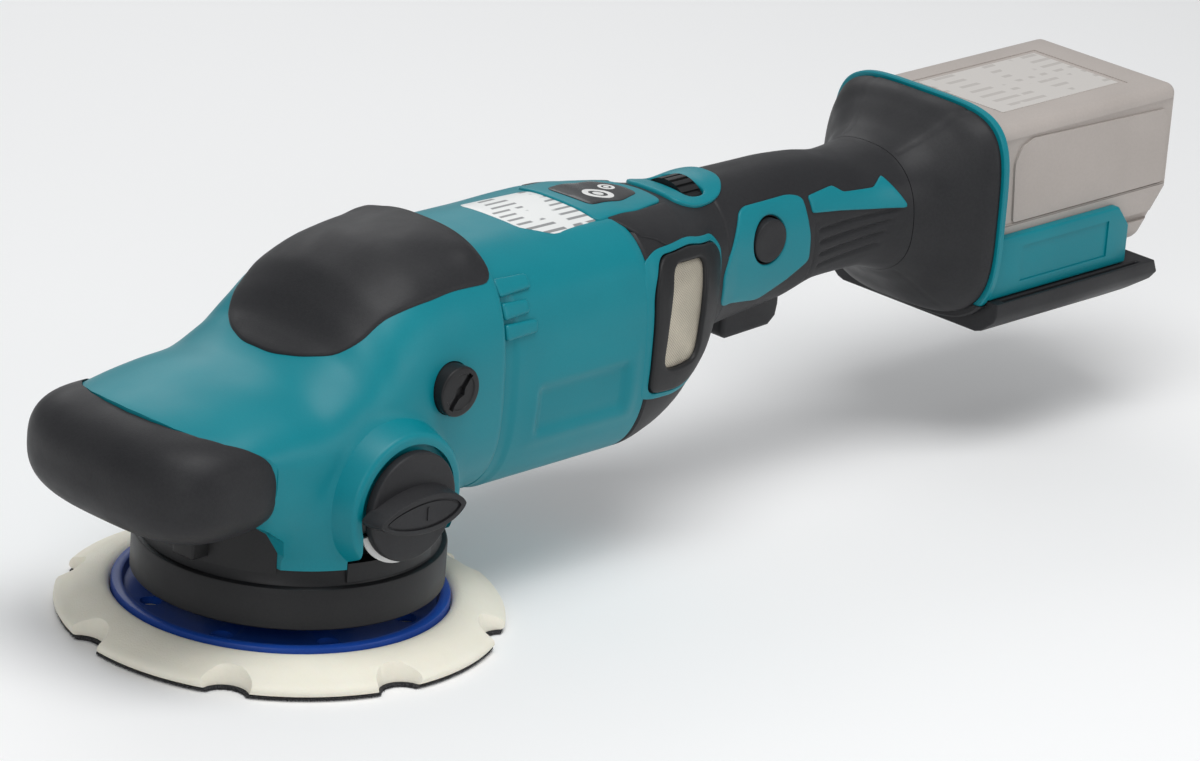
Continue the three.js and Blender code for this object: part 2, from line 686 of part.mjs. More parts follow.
for (const [name, side] of [
  ["side_plug_left", -1],
  ["side_plug_right", 1],
]) {
  const out = side * (reach(HEAD, PLUG.x, PLUG.z) + 2);
  const [from, to] = [Math.min(out, out - side * 9), Math.max(out, out - side * 9)];
  const slotMiddle = out - side * 0.4;
  const slot = box(PLUG.x - 7, PLUG.x + 7, slotMiddle - 0.9, slotMiddle + 0.9, PLUG.z - 1, PLUG.z + 1);
  piece(name, "black", cut(rod("y", PLUG.x, PLUG.z, PLUG.radius, from, to), slot));
}

// ---------------------------------------------------------------- motor housing and handle
const OVER_FROM = 136.5; // the overmould starts here
const GRIP_FROM = 196.7; // the handle grip starts here
const FLANGE_FROM = 300; // the dock flange starts here
const TOP_HALF = 16; // half width of the plain strip along the top
const FLANGE_SKIN = 4;

const bothSides = (outline, from, to) =>
  join(prism("y", outline, -to, -from), prism("y", outline, from, to));
const topStrip = (by) => box(120, 207 + by, -TOP_HALF - by, TOP_HALF + by, 110, FAR);
const overRegion = (by) =>
  cut(
    box(OVER_FROM + by, GRIP_FROM - by - GAP, -80, 80, 0, FAR),
    topStrip(by),
    bothSides(grown(VENT_FRAME, by), 8, 80),
  );
const triggerRoom = (by) => {
  const half = TRIGGER.half + 3 + by;
  return box(TRIGGER.from - 3 - by, TRIGGER.to + 3 + by, -half, half, 0, 90);
};
const gripRegion = (by) =>
  cut(
    box(GRIP_FROM + by, FLANGE_FROM - by, -80, 80, 0, FAR),
    topStrip(by),
    bothSides(grown(LOCK_PLATE, by), 8, 80),
    bothSides(grown(SIDE_STRIP, by), 8, 80),
    triggerRoom(by),
  );

const screwHigh = MOTOR_Z + STATOR_RADIUS + 7.1; // the upper and lower rows clear the stator
const screwLow = MOTOR_Z - STATOR_RADIUS - 6.9;
const screwPlaces = [
  [80.5, screwHigh],
  [80.5, screwLow],
  [130, screwHigh],
  [130, screwLow],
  [262, 103],
];
const seatOf = ([x, z]) => reach(BODY, x, z) - 6.5;
const columns = (side) =>
  screwPlaces.map(([x, z]) => {
    const end = reach(BODY, x, z) - 1;
    return rod("y", x, z, 5.4, side > 0 ? 0 : -end, side > 0 ? end : 0, 6);
  });
const ribs = [84, 113].map((x) =>
  cut(between(under(BODY, 1.4, 10), x, x + 3), rod("x", 0, MOTOR_Z, STATOR_RADIUS + 0.6, 60, 140, 20)),
);
const bearingSeat = rod("x", 0, MOTOR_Z, 8 + 0.5, 100, 140, 12);
const bearingRib = cut(between(under(BODY, 1.4, 10), 127.5, 132.5), bearingSeat);

const bodySkin = between(under(BODY, 0), SEAM_X + GAP, FLANGE_FROM + 23.7);
const bodyHollow = join(
  between(under(stretched(BODY), WALL, 12), SEAM_X - 1, 134),
  between(under(rough(BODY), 5.4, 12), 133, FLANGE_FROM),
  between(under(rough(BODY), FLANGE_SKIN + 3.4, 12), FLANGE_FROM - 1, DOCK_X),
);
const shell = join(cut(bodySkin, bodyHollow), ...ribs, bearingRib, ...columns(1), ...columns(-1));
const screenHole = bothSides(grown(VENT_SCREEN, -1.5), 12, 80);
const bodyCuts = [
  cut(join(overRegion(-GAP), bothSides(VENT_FRAME, 8, 80)), under(BODY, SKIN + GAP)),
  cut(gripRegion(-GAP), under(BODY, SKIN + GAP)),
  cut(box(FLANGE_FROM - GAP, 340, -80, 80, 0, FAR), under(BODY, FLANGE_SKIN + GAP)),
  screenHole,
  box(131 - GAP, 163 + GAP, -14 - GAP, 14 + GAP, 110, FAR), // control panel window
  box(DIAL.x - DIAL.half - 1, DIAL.x + DIAL.half + 1, -14.5, 14.5, 102, FAR), // dial slot
  cut(box(170.5, 207 + GAP, -TOP_HALF, TOP_HALF, 110, FAR), under(BODY, 1)), // seat of the bezel
  box(TRIGGER.from - 0.6, TRIGGER.to + 0.6, -TRIGGER.half - 0.4, TRIGGER.half + 0.4, 50, 92),
  rod("y", LOCK.x, LOCK.z, LOCK.radius + RUN, -60, -14, 24),
];
const body = cut(shell, ...bodyCuts);
const screwBores = screwPlaces.map((place) =>
  join(
    rod("y", ...place, 2.2, -14, seatOf(place) + 1, 6),
    rod("y", ...place, 4.2, seatOf(place), 60, 8),
  ),
);
piece("housing_left", "teal", largest(cut(body, box(0, FAR, -GAP / 2, 90, 0, FAR), ...screwBores)));
piece("housing_right", "teal", largest(cut(body, box(0, FAR, -90, GAP / 2, 0, FAR), ...screwBores)));
screwPlaces.forEach((place, i) => {
  const seat = seatOf(place) + GAP;
  const shank = rod("y", ...place, 1.6, -12, seat + 0.5, 6);
  const socket = rod("y", ...place, 1.6, seat + 1.4, seat + 4, 6);
  const head = cut(rod("y", ...place, 3.5, seat, seat + 3, 8), socket);
  piece("housing_screw_" + (i + 1), "steel", join(shank, head));
});

const overSkin = cut(between(under(BODY, 0), OVER_FROM, GRIP_FROM), under(BODY, SKIN));
piece("motor_overmould", "charcoal", largest(overSkin.intersect(overRegion(0))));
const gripSkin = cut(between(under(BODY, 0), GRIP_FROM, FLANGE_FROM), under(BODY, SKIN));
piece("handle_grip", "charcoal", largest(gripSkin.intersect(gripRegion(0))));

for (const [side, label] of [
  [-1, "left"],
  [1, "right"],
]) {
  const across = (outline, by) => {
    const [from, to] = side < 0 ? [-80, -8] : [8, 80];
    return prism("y", grown(outline, by), from, to);
  };
  const frameBlank = under(BODY, -0.5).intersect(across(VENT_FRAME, -GAP));
  const frame = cut(frameBlank, under(BODY, SKIN), across(VENT_SCREEN, 0));
  piece("vent_frame_" + label, "black", largest(frame));
  const screen = cut(under(BODY, 0.7).intersect(across(VENT_SCREEN, -GAP)), under(BODY, 1.7));
  piece("vent_screen_" + label, "mesh", largest(screen));
}

const panel = cut(under(BODY, 0.8).intersect(box(131, 163, -14, 14, 110, FAR)), under(BODY, 2.6));
piece("control_panel", "black", panel);
const bezel = cut(
  under(BODY, -1.2).intersect(box(171, 207, -TOP_HALF + GAP, TOP_HALF - GAP, 110, FAR)),
  under(BODY, 0.7),
  box(DIAL.x - DIAL.half - 1, DIAL.x + DIAL.half + 1, -12, 12, 100, FAR),
);
piece("dial_bezel", "teal", bezel);
const ridges = [...Array(14).keys()].map((i) => {
  const angle = (i / 14) * 2 * Math.PI;
  const y = (DIAL.radius + 0.3) * Math.cos(angle);
  return rod("x", y, DIAL.z + (DIAL.radius + 0.3) * Math.sin(angle), 0.9, DIAL.x - 10, DIAL.x + 10, 4);
});
const dialBlank = rod("x", 0, DIAL.z, DIAL.radius, DIAL.x - DIAL.half, DIAL.x + DIAL.half, 36);
piece("speed_dial", "black", cut(dialBlank, ...ridges));

// ---------------------------------------------------------------- trigger, lock button, switch
const lockOut = -reach(BODY, LOCK.x, LOCK.z) - 1.4;
piece("lock_button", "charcoal", rod("y", LOCK.x, LOCK.z, LOCK.radius, lockOut, -17.2, 24));
const triggerSide = [
  [TRIGGER.from, TRIGGER.top],
  [TRIGGER.from, TRIGGER.low + 3],
  [TRIGGER.from + 3, TRIGGER.low],
  [TRIGGER.to - 5, TRIGGER.low + 1],
  [TRIGGER.to - 1, TRIGGER.low + 4],
  [TRIGGER.to, TRIGGER.low + 9],
  [TRIGGER.to, TRIGGER.top],
];
piece("trigger", "charcoal", prism("y", triggerSide, -TRIGGER.half, TRIGGER.half));

// A coil spring on a vertical line, as one closed wire.
function coil(x, radius, wire, low, high, turns) {
  const steps = turns * 8;
  const rings = [];
  for (let i = 0; i <= steps; i++) {
    const angle = (i / 8) * 2 * Math.PI;
    const z = low + ((high - low) * i) / steps;
    const loop = [];
    for (let k = 0; k < 4; k++) {
      const turn = (k / 4) * 2 * Math.PI;
      const r = radius + wire * Math.cos(turn);
      loop.push([x + r * Math.cos(angle), r * Math.sin(angle), z + wire * Math.sin(turn)]);
    }
    rings.push(loop);
  }
  return skinned(rings);
}
const SPRING_X = 229;
piece("trigger_spring", "steel", coil(SPRING_X, 2.8, 0.45, TRIGGER.top + 0.8, 91, 4));
const switchLow = TRIGGER.top + TRIGGER.travel + 1.4;
const switchBlank = box(208, 250, -12, 12, switchLow, 116);
piece("switch_body", "black", cut(switchBlank, rod("z", SPRING_X, 0, 4.2, 80, 99.5, 16)));
piece("controller_board", "green", box(143, 177, -17, 17, 76, 79));

// ---------------------------------------------------------------- dock and battery
const flange = cut(
  between(under(BODY, 0), FLANGE_FROM + GAP, DOCK_X - 0.5),
  between(under(BODY, FLANGE_SKIN), FLANGE_FROM - 3, 324),
  box(320, 340, -14, 14, 76, 112),
);
piece("dock_flange", "charcoal", flange);
const rimStations = [
  [DOCK_X - 0.2, BATTERY_HALF + 8.9, BATTERY_TOP + 8, BATTERY_LOW - 18.1, 4.6, 3.4, 95],
  [DOCK_X + RIM_THICK, BATTERY_HALF + 8.9, BATTERY_TOP + 8, BATTERY_LOW - 18.1, 4.6, 3.4, 95],
];
const rimCuts = [box(320, 340, -14, 14, 76, 112)];
piece("dock_rim", "teal", cut(under(rimStations, 0), ...rimCuts));

const TRAY_HALF = BATTERY_HALF + 4;
const TRAY_LOW = BATTERY_LOW - 6.3;
const TRAY_TOP = BATTERY_LOW + 18.7;
const RAIL_Z = BATTERY_LOW + 9.7; // middle of the rails and their grooves
const RAIL_IN = BATTERY_HALF - 2.1; // bottom of the grooves
const trayBlank = box(BATTERY_FROM - 1 + GAP, TRAY_TO, -TRAY_HALF, TRAY_HALF, TRAY_LOW, TRAY_TOP);
const trayInside = box(320, 440, -BATTERY_HALF - RUN, BATTERY_HALF + RUN, BATTERY_LOW - RUN, 100);
const railOf = (side) => {
  const [from, to] = [side * (RAIL_IN + 0.4), side * (TRAY_HALF - 1)].sort((a, b) => a - b);
  return box(340, TRAY_TO - 2, from, to, RAIL_Z - 1, RAIL_Z + 1);
};
const trayNose = prism(
  "y",
  [
    [TRAY_TO - 8, TRAY_TOP + 1],
    [TRAY_TO + 1, TRAY_TOP + 1],
    [TRAY_TO + 1, TRAY_TOP - 10],
  ],
  -60,
  60,
);
piece("dock_tray", "teal", cut(join(cut(trayBlank, trayInside), railOf(-1), railOf(1)), trayNose));
const blockBlank = box(BATTERY_FROM + 2, 362, -11, 11, BATTERY_LOW - RUN + GAP, CELL_FLOOR - 4);
const blade1 = box(340, 363, -7, -5, 76, 86);
const blade2 = box(340, 363, 5, 7, 76, 86);
piece("terminal_block", "black", cut(blockBlank, blade1, blade2));

const BUMPER_HALF = BATTERY_HALF + 8.5;
const BUMPER_TOP = TRAY_LOW - GAP;
const bumperAcross = [
  [-BUMPER_HALF, BUMPER_TOP],
  [-BUMPER_HALF, BUMPER_TOP - 5.7],
  [9 - BUMPER_HALF, BUMPER_TOP - 14.2],
  [BUMPER_HALF - 9, BUMPER_TOP - 14.2],
  [BUMPER_HALF, BUMPER_TOP - 5.7],
  [BUMPER_HALF, BUMPER_TOP],
];
const bumperAlong = [
  [BATTERY_FROM - 1 + GAP, BUMPER_TOP],
  [BATTERY_FROM - 1 + GAP, BUMPER_TOP - 14.7],
  [TRAY_TO + 4, BUMPER_TOP - 14.7],
  [TRAY_TO + 13, BUMPER_TOP - 10.2],
  [TRAY_TO + 16, BUMPER_TOP - 5.7],
  [TRAY_TO + 12, BUMPER_TOP],
];
const bumperBar = prism("x", bumperAcross, DOCK_X - 1, TRAY_TO + 20);
piece("rear_bumper", "charcoal", bumperBar.intersect(prism("y", bumperAlong, -FAR, FAR)));

const BATTERY = [
  [BATTERY_FROM, BATTERY_HALF - 0.6, BATTERY_TOP - 0.6, BATTERY_LOW, 7, 14, 100],
  [BATTERY_FROM + 2, BATTERY_HALF, BATTERY_TOP, BATTERY_LOW, 7, 14, 100],
  [BATTERY_TO - 8, BATTERY_HALF, BATTERY_TOP, BATTERY_LOW, 7, 14, 100],
  [BATTERY_TO - 2, BATTERY_HALF - 1, BATTERY_TOP - 1.2, BATTERY_LOW + 1, 7, 14, 100],
  [BATTERY_TO, BATTERY_HALF - 3, BATTERY_TOP - 3.5, BATTERY_LOW + 3, 7, 14, 100],
];
const batteryHeel = prism(
  "y",
  [
    [BATTERY_TO + 1, BATTERY_LOW - 1],
    [BATTERY_TO + 1, 91],
    [BATTERY_TO - 17, BATTERY_LOW - 1],
  ],
  -60,
  60,
);
const CELL_ROOM = [BATTERY_FROM + 3, BATTERY_TO - 7, CELL_FLOOR, BATTERY_TOP - 4];
const BUTTON_Z = BATTERY_TOP - 15.2;
const batteryCuts = [
  box(CELL_ROOM[0], CELL_ROOM[1], -BATTERY_HALF + 3.5, BATTERY_HALF - 3.5, CELL_ROOM[2], CELL_ROOM[3]),
  box(BATTERY_FROM - 1, 366, -12, 12, 60, CELL_FLOOR - 2.5), // terminal pocket
  box(BATTERY_FROM - 1, BATTERY_TO, -FAR, -RAIL_IN, RAIL_Z - 1.6, RAIL_Z + 1.6), // rail grooves
  box(BATTERY_FROM - 1, BATTERY_TO, RAIL_IN, FAR, RAIL_Z - 1.6, RAIL_Z + 1.6),
  box(BATTERY_TO - 6, BATTERY_TO + 1, -11.5, 11.5, BUTTON_Z - 10.8, BUTTON_Z + 7.2), // button pocket
  batteryHeel,
];
const batteryShell = cut(under(BATTERY, 0, 32), ...batteryCuts);
const belowSplit = box(300, FAR + 200, -FAR, FAR, -FAR, BATTERY_SPLIT + GAP / 2);
const aboveSplit = box(300, FAR + 200, -FAR, FAR, BATTERY_SPLIT - GAP / 2, FAR);
piece("battery_upper", "grey", largest(cut(batteryShell, belowSplit)));
piece("battery_lower", "grey", largest(cut(batteryShell, aboveSplit)));
const CELL = 9.3;
const CELL_PITCH = 18.4;
const CELL_AT = [BATTERY_FROM + 13.5, CELL_FLOOR + 10]; // middle of the first cell
const columnsFit = Math.floor((CELL_ROOM[1] - CELL_AT[0] + CELL) / CELL_PITCH);
const layersFit = Math.floor((CELL_ROOM[3] - CELL_AT[1] + CELL) / CELL_PITCH);
const CELL_END = BATTERY_HALF - 5;
const cells = [...Array(columnsFit).keys()].flatMap((i) =>
  [...Array(layersFit).keys()].map((k) => {
    const at = [CELL_AT[0] + i * CELL_PITCH, CELL_AT[1] + k * CELL_PITCH];
    return rod("y", ...at, CELL, -CELL_END, CELL_END, 8);
  }),
);
piece("battery_cells", "cell", join(...cells));
const button = box(BATTERY_TO - 5.6, BATTERY_TO + 1, -11, 11, BUTTON_Z - 6.8, BUTTON_Z + 6.7);
piece("battery_button", "charcoal", button);

// ---------------------------------------------------------------- shared frame
const bounds = new THREE.Box3().setFromObject(group);
const middle = bounds.getCenter(new THREE.Vector3());
group.position.set(-middle.x, -middle.y, -bounds.min.z);

export default group;
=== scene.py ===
"""Visual model of a cordless dual action polisher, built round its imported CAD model.

Lengths in the classes are millimetres about the drive spindle: +X runs to the battery, +Z is
up and the tool's left side faces -Y. They become metres in the CAD model's frame when a mesh
is made, so every finished piece sits at the origin with its place in its mesh.
"""
import logging
import math
from contextlib import contextmanager
from dataclasses import dataclass
from enum import Enum
from typing import Callable, Iterator, Optional, Sequence, Union

import bpy
import numpy as np
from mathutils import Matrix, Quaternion, Vector
from mathutils.geometry import delaunay_2d_cdt


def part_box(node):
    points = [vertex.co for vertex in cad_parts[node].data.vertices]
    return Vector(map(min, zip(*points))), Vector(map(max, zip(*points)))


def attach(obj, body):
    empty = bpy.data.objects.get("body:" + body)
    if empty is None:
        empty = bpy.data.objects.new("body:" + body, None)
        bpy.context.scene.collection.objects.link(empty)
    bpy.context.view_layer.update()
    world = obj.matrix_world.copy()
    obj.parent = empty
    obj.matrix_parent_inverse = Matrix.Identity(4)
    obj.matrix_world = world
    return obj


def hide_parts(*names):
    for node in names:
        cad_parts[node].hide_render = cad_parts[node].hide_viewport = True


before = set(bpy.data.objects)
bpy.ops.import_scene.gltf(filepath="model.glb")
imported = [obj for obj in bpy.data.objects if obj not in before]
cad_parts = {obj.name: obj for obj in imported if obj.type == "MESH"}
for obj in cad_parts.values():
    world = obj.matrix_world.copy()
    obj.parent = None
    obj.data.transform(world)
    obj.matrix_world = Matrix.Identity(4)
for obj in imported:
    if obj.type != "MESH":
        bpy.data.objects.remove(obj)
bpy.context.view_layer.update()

LOG = logging.getLogger("polisher")
MM = 0.001
SPINDLE_X = sum(corner.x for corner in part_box("drive_spindle")) / 2
PAD_X = (sum(corner.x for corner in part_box("pad_bolt")) / 2 - SPINDLE_X) / MM

# Sizes that several sub-assemblies share, in millimetres.
LOBE_RADIUS = 56.0
COVER_LOW = 38.3
KNOB_Z = 61.0
LOCK_AT = (222.0, 106.0)
FAR = 160.0

Point = tuple[float, float, float]
Flat = tuple[float, float]
Piece = bpy.types.Object


class Axis(Enum):
    """The axis that a round piece is turned about."""

    X = "x"
    Y = "y"
    Z = "z"


class Side(Enum):
    """A side of the tool, as the sign of Y."""

    LEFT = -1
    RIGHT = 1

    @property
    def label(self) -> str:
        """The side's name in a CAD node's name."""
        return self.name.lower()

    def span(self, near: float, far: float) -> tuple[float, float]:
        """The stretch of Y between two distances out on this side."""
        return tuple(sorted((self.value * near, self.value * far)))


# ------------------------------------------------------------------ shader maths
Input = Union[float, tuple, "Value", bpy.types.NodeSocket]


class Value:
    """A number that varies over a surface, on which Python's operators add Math nodes."""

    def __init__(self, paint: "Paint", socket: bpy.types.NodeSocket) -> None:
        """Wraps one output socket of the paint's node tree."""
        self.paint = paint
        self.socket = socket

    def _math(self, operation: str, *others: Input, clamp: bool = False) -> "Value":
        """Adds a Math node whose first value is this one.

        Args:
            operation: the Math node's operation.
            others: its other values.
            clamp: whether the result is kept from 0 to 1.

        Returns:
            The node's result.
        """
        settings = {"operation": operation, "use_clamp": clamp}
        return self.paint.node("ShaderNodeMath", settings, {i: v for i, v in enumerate((self, *others))})

    def __add__(self, other: Input) -> "Value":
        """This value plus another."""
        return self._math("ADD", other)

    __radd__ = __add__

    def __mul__(self, other: Input) -> "Value":
        """This value times another."""
        return self._math("MULTIPLY", other)

    __rmul__ = __mul__

    def __sub__(self, other: Input) -> "Value":
        """This value less another."""
        return self._math("SUBTRACT", other)

    def __rsub__(self, other: float) -> "Value":
        """A number less this value."""
        return self._math("MULTIPLY", -1.0) + other

    def __truediv__(self, other: Input) -> "Value":
        """This value over another."""
        return self._math("DIVIDE", other)

    def step(self, low: float, high: float) -> "Value":
        """0 below low and 1 above high, in a straight line between."""
        return ((self - low) * (1.0 / (high - low)))._math("ADD", 0.0, clamp=True)

    def top(self, other: Input) -> "Value":
        """The larger of this value and another."""
        return self._math("MAXIMUM", other)

    def wave(self) -> "Value":
        """The sine of this value."""
        return self._math("SINE")


class Paint:
    """One material's node tree, with a Principled shader."""

    def __init__(self, name: str) -> None:
        """Starts a material with that name."""
        self.material = bpy.data.materials.new(name)
        self.material.use_nodes = True
        self.tree = self.material.node_tree
        self.shader = next(n for n in self.tree.nodes if n.type == "BSDF_PRINCIPLED")

    def node(self, kind: str, settings: dict, inputs: dict, output: Union[int, str] = 0) -> Value:
        """Adds one node.

        Args:
            kind: the node's type.
            settings: its own properties, set before its sockets.
            inputs: a value or a link for each socket, by name or number.
            output: the output that is wanted.

        Returns:
            That output.
        """
        made = self.tree.nodes.new(kind)
        for name, value in settings.items():
            setattr(made, name, value)
        for name, value in inputs.items():
            self.feed(made.inputs[name], value)
        return Value(self, made.outputs[output])

    def feed(self, socket: bpy.types.NodeSocket, value: Input) -> None:
        """Links a value to a socket, or sets the socket to a number or a colour."""
        if isinstance(value, Value):
            self.tree.links.new(value.socket, socket)
            return
        if isinstance(value, tuple) and len(value) == 3 and socket.type == "RGBA":
            value = (*value, 1.0)
        socket.default_value = value

    def place(self, scale: Sequence[float] = (1.0, 1.0, 1.0), turn: float = 0.0) -> Value:
        """Object coordinates, scaled and turned about Y."""
        where = self.node("ShaderNodeTexCoord", {}, {}, "Object")
        inputs = {"Vector": where, "Scale": tuple(scale), "Rotation": (0.0, turn, 0.0)}
        return self.node("ShaderNodeMapping", {}, inputs)

    def part(self, where: Value, axis: str) -> Value:
        """One coordinate of a vector, by its letter."""
        return self.node("ShaderNodeSeparateXYZ", {}, {"Vector": where}, axis)

    def noise(self, size: float, detail: float = 3.0, stretch: Sequence[float] = (1, 1, 1)) -> Value:
        """Noise from 0 to 1 whose lumps are about that many millimetres across."""
        inputs = {"Vector": self.place(stretch), "Scale": 1.0 / (size * MM), "Detail": detail}
        return self.node("ShaderNodeTexNoise", {}, inputs, 0)

    def mix(self, low: Input, high: Input, share: Input) -> Value:
        """A colour between two, by share."""
        inputs = {0: share, 6: low, 7: high}
        return self.node("ShaderNodeMix", {"data_type": "RGBA"}, inputs, 2)

    def emboss(self, height: Value, depth: float, under: Optional[Value] = None) -> Value:
        """A normal bent by a height from 0 to 1, which is depth millimetres high."""
        inputs = {"Height": height, "Distance": depth * MM, "Strength": 1.0}
        if under is not None:
            inputs["Normal"] = under
        return self.node("ShaderNodeBump", {}, inputs)

    def finish(self, colour: Input, roughness: Input, normal: Optional[Value], **fixed: float) -> None:
        """Feeds the shader, whose other sockets are set to fixed numbers."""
        self.feed(self.shader.inputs["Base Color"], colour)
        self.feed(self.shader.inputs["Roughness"], roughness)
        if normal is not None:
            self.feed(self.shader.inputs["Normal"], normal)
        for name, value in fixed.items():
            self.shader.inputs[name.replace("_", " ")].default_value = value


# ------------------------------------------------------------------ finishes
Colour = tuple[float, float, float]


@dataclass(frozen=True)
class Finish:
    """A finish whose material is made once, when it is first used."""

    name: str

    def material(self) -> bpy.types.Material:
        """The finish's material."""
        name = f"{self.name}_finish"
        made = bpy.data.materials.get(name)
        if made is None:
            paint = Paint(name)
            self.colour_in(paint)
            made = paint.material
        return made

    def colour_in(self, paint: Paint) -> None:
        """Adds the finish's nodes to a paint."""
        raise NotImplementedError


@dataclass(frozen=True)
class Moulded(Finish):
    """Moulded plastic or rubber: fine grain, faint flow blotches and handling marks."""

    light: Colour = (0.5, 0.5, 0.5)
    dark: Colour = (0.4, 0.4, 0.4)
    roughness: float = 0.4
    grain: float = 0.35
    depth: float = 0.02
    marks: float = 0.08

    def colour_in(self, paint: Paint) -> None:
        """Blotches shift the colour, smears the gloss, and the grain bends the normal."""
        blotch = paint.noise(38.0, 2.0).step(0.3, 0.7)
        speck = paint.noise(self.grain * 2.4, 2.0).step(0.35, 0.65)
        colour = paint.mix(self.dark, self.light, blotch * 0.7 + speck * 0.3)
        smear = paint.noise(16.0, 4.0, (0.5, 1.0, 1.6)).step(0.35, 0.75)
        roughness = smear * self.marks + self.roughness
        grain = paint.noise(self.grain, 3.0)
        swell = paint.noise(22.0, 1.0)
        normal = paint.emboss(swell, 0.25, paint.emboss(grain, self.depth))
        paint.finish(colour, roughness, normal, Specular_IOR_Level=0.3)


@dataclass(frozen=True)
class Foam(Finish):
    """Closed-cell polyurethane with a skin, softly mottled and finely pitted."""

    light: Colour = (0.90, 0.84, 0.72)
    dark: Colour = (0.82, 0.75, 0.61)

    def colour_in(self, paint: Paint) -> None:
        """Soft mottling, with pores in the skin."""
        mottle = paint.noise(14.0, 4.0).step(0.3, 0.75)
        inputs = {"Vector": paint.place(), "Scale": 1.0 / (0.9 * MM), "Randomness": 1.0}
        cells = paint.node("ShaderNodeTexVoronoi", {}, inputs, "Distance").step(0.05, 0.5)
        colour = paint.mix(self.dark, self.light, 1 - mottle * 0.35)
        normal = paint.emboss(cells, 0.05, paint.emboss(paint.noise(9.0, 2.0), 0.25))
        paint.finish(colour, 0.62 + mottle * 0.12, normal, Subsurface_Weight=0.08)


@dataclass(frozen=True)
class HookCloth(Finish):
    """Black hook fabric: rows of tiny hooks on a knitted back."""

    def colour_in(self, paint: Paint) -> None:
        """A knit of small loop cells, painted lighter at each tip as a highlight and darker in the hollows
        between as painted shade.
        """
        inputs = {"Vector": paint.place(), "Scale": 1.0 / (0.7 * MM), "Randomness": 0.5}
        knit_hollows_and_shade = paint.node("ShaderNodeTexVoronoi", {}, inputs, "Distance").step(0.1, 0.6)
        # painted shade and highlight: near-black in the hollows between loop cells and lighter at the raised
        # tips, following the bump's height
        colour = paint.mix((0.07, 0.07, 0.075), (0.012, 0.012, 0.014), knit_hollows_and_shade)
        paint.finish(colour, 0.8 + knit_hollows_and_shade * 0.1, paint.emboss(1 - knit_hollows_and_shade, 0.3))


@dataclass(frozen=True)
class WireCloth(Finish):
    """Fine woven wire, seen as crossing diagonal strands."""

    light: Colour = (0.66, 0.60, 0.49)
    dark: Colour = (0.20, 0.18, 0.14)
    pitch: float = 0.85

    def colour_in(self, paint: Paint) -> None:
        """Two sets of strands cross, and a faint moire runs over them."""
        turns = 2 * math.pi / (self.pitch * MM)
        strands = []
        for turn in (math.radians(42), math.radians(-48)):
            along = paint.part(paint.place(turn=turn), "X")
            strands.append((along * turns).wave() * 0.5 + 0.5)
        weave = strands[0].top(strands[1])
        cloud = paint.noise(9.0, 3.0).step(0.3, 0.7)
        colour = paint.mix(self.dark, self.light, weave * 0.75 + cloud * 0.25)
        paint.finish(colour, 0.36 + cloud * 0.1, paint.emboss(weave, 0.12), Metallic=0.55)


@dataclass(frozen=True)
class Metal(Finish):
    """Machined or cast metal, with lay lines and a dull bloom."""

    light: Colour = (0.62, 0.63, 0.65)
    dark: Colour = (0.40, 0.41, 0.43)
    roughness: float = 0.28
    grain: float = 0.4
    depth: float = 0.01

    def colour_in(self, paint: Paint) -> None:
        """Stretched noise for the lay, and lumps for the bloom."""
        lay = paint.noise(self.grain, 3.0, (0.15, 1.0, 1.0))
        bloom = paint.noise(7.0, 3.0).step(0.35, 0.7)
        colour = paint.mix(self.dark, self.light, lay * 0.5 + bloom * 0.5)
        paint.finish(colour, bloom * 0.14 + self.roughness, paint.emboss(lay, self.depth), Metallic=1.0)


@dataclass(frozen=True)
class Printed(Finish):
    """A printed label: pale vinyl with plain bars and boxes, and nothing to read."""

    paper: Colour = (0.80, 0.81, 0.80)
    ink: Colour = (0.10, 0.105, 0.11)
    pitch: float = 5.2

    def colour_in(self, paint: Paint) -> None:
        """Bars run across the label and break at uneven places."""
        where = paint.place()
        rows = (paint.part(where, "Y") * (2 * math.pi / (self.pitch * MM))).wave().step(0.35, 0.5)
        lengths = paint.noise(7.0, 0.0, (1.0, 0.25, 0.25)).step(0.49, 0.52)
        bars = rows * lengths
        fibre = paint.noise(0.6, 2.0)
        colour = paint.mix(self.paper, self.ink, bars * 0.75 + fibre * 0.06)
        paint.finish(colour, 0.32 + bars * 0.12, paint.emboss(fibre, 0.01))


TEAL = Moulded("teal_plastic", (0.0, 0.215, 0.262), (0.0, 0.188, 0.234), 0.36, 0.32, 0.012)
RUBBER = Moulded("charcoal_rubber", (0.022, 0.022, 0.024), (0.013, 0.013, 0.015), 0.44, 0.5, 0.045, 0.14)
BLACK = Moulded("black_plastic", (0.015, 0.015, 0.016), (0.009, 0.009, 0.010), 0.4, 0.4, 0.03, 0.1)
GLOSS = Moulded("dark_window", (0.020, 0.020, 0.022), (0.012, 0.012, 0.013), 0.18, 0.5, 0.004, 0.06)
BLUE = Moulded("blue_plastic", (0.010, 0.065, 0.36), (0.006, 0.045, 0.27), 0.32, 0.4, 0.015)
WHITE = Moulded("white_plastic", (0.80, 0.80, 0.79), (0.70, 0.70, 0.69), 0.35, 0.4, 0.01)
GREY = Moulded("battery_grey", (0.46, 0.415, 0.385), (0.41, 0.368, 0.34), 0.42, 0.45, 0.03, 0.1)
BOARD = Moulded("circuit_board", (0.02, 0.14, 0.05), (0.01, 0.09, 0.035), 0.35, 1.2, 0.03)
WRAP = Moulded("cell_wrap", (0.05, 0.22, 0.10), (0.03, 0.16, 0.07), 0.3, 0.5, 0.01)
FOAM = Foam("cream_foam")
HOOKS = HookCloth("hook_fabric")
MESH = WireCloth("metal_mesh")
STEEL = Metal("steel")
CAST = Metal("cast_metal", (0.50, 0.50, 0.51), (0.33, 0.33, 0.34), 0.5, 1.1, 0.06)
COPPER = Metal("copper", (0.62, 0.26, 0.12), (0.42, 0.16, 0.07), 0.35, 0.8, 0.05)
LABEL = Printed("printed_label", (0.78, 0.79, 0.78), (0.10, 0.105, 0.11), 4.4)
BATTERY_LABEL = Printed("battery_label", (0.60, 0.57, 0.54), (0.44, 0.41, 0.385), 6.4)


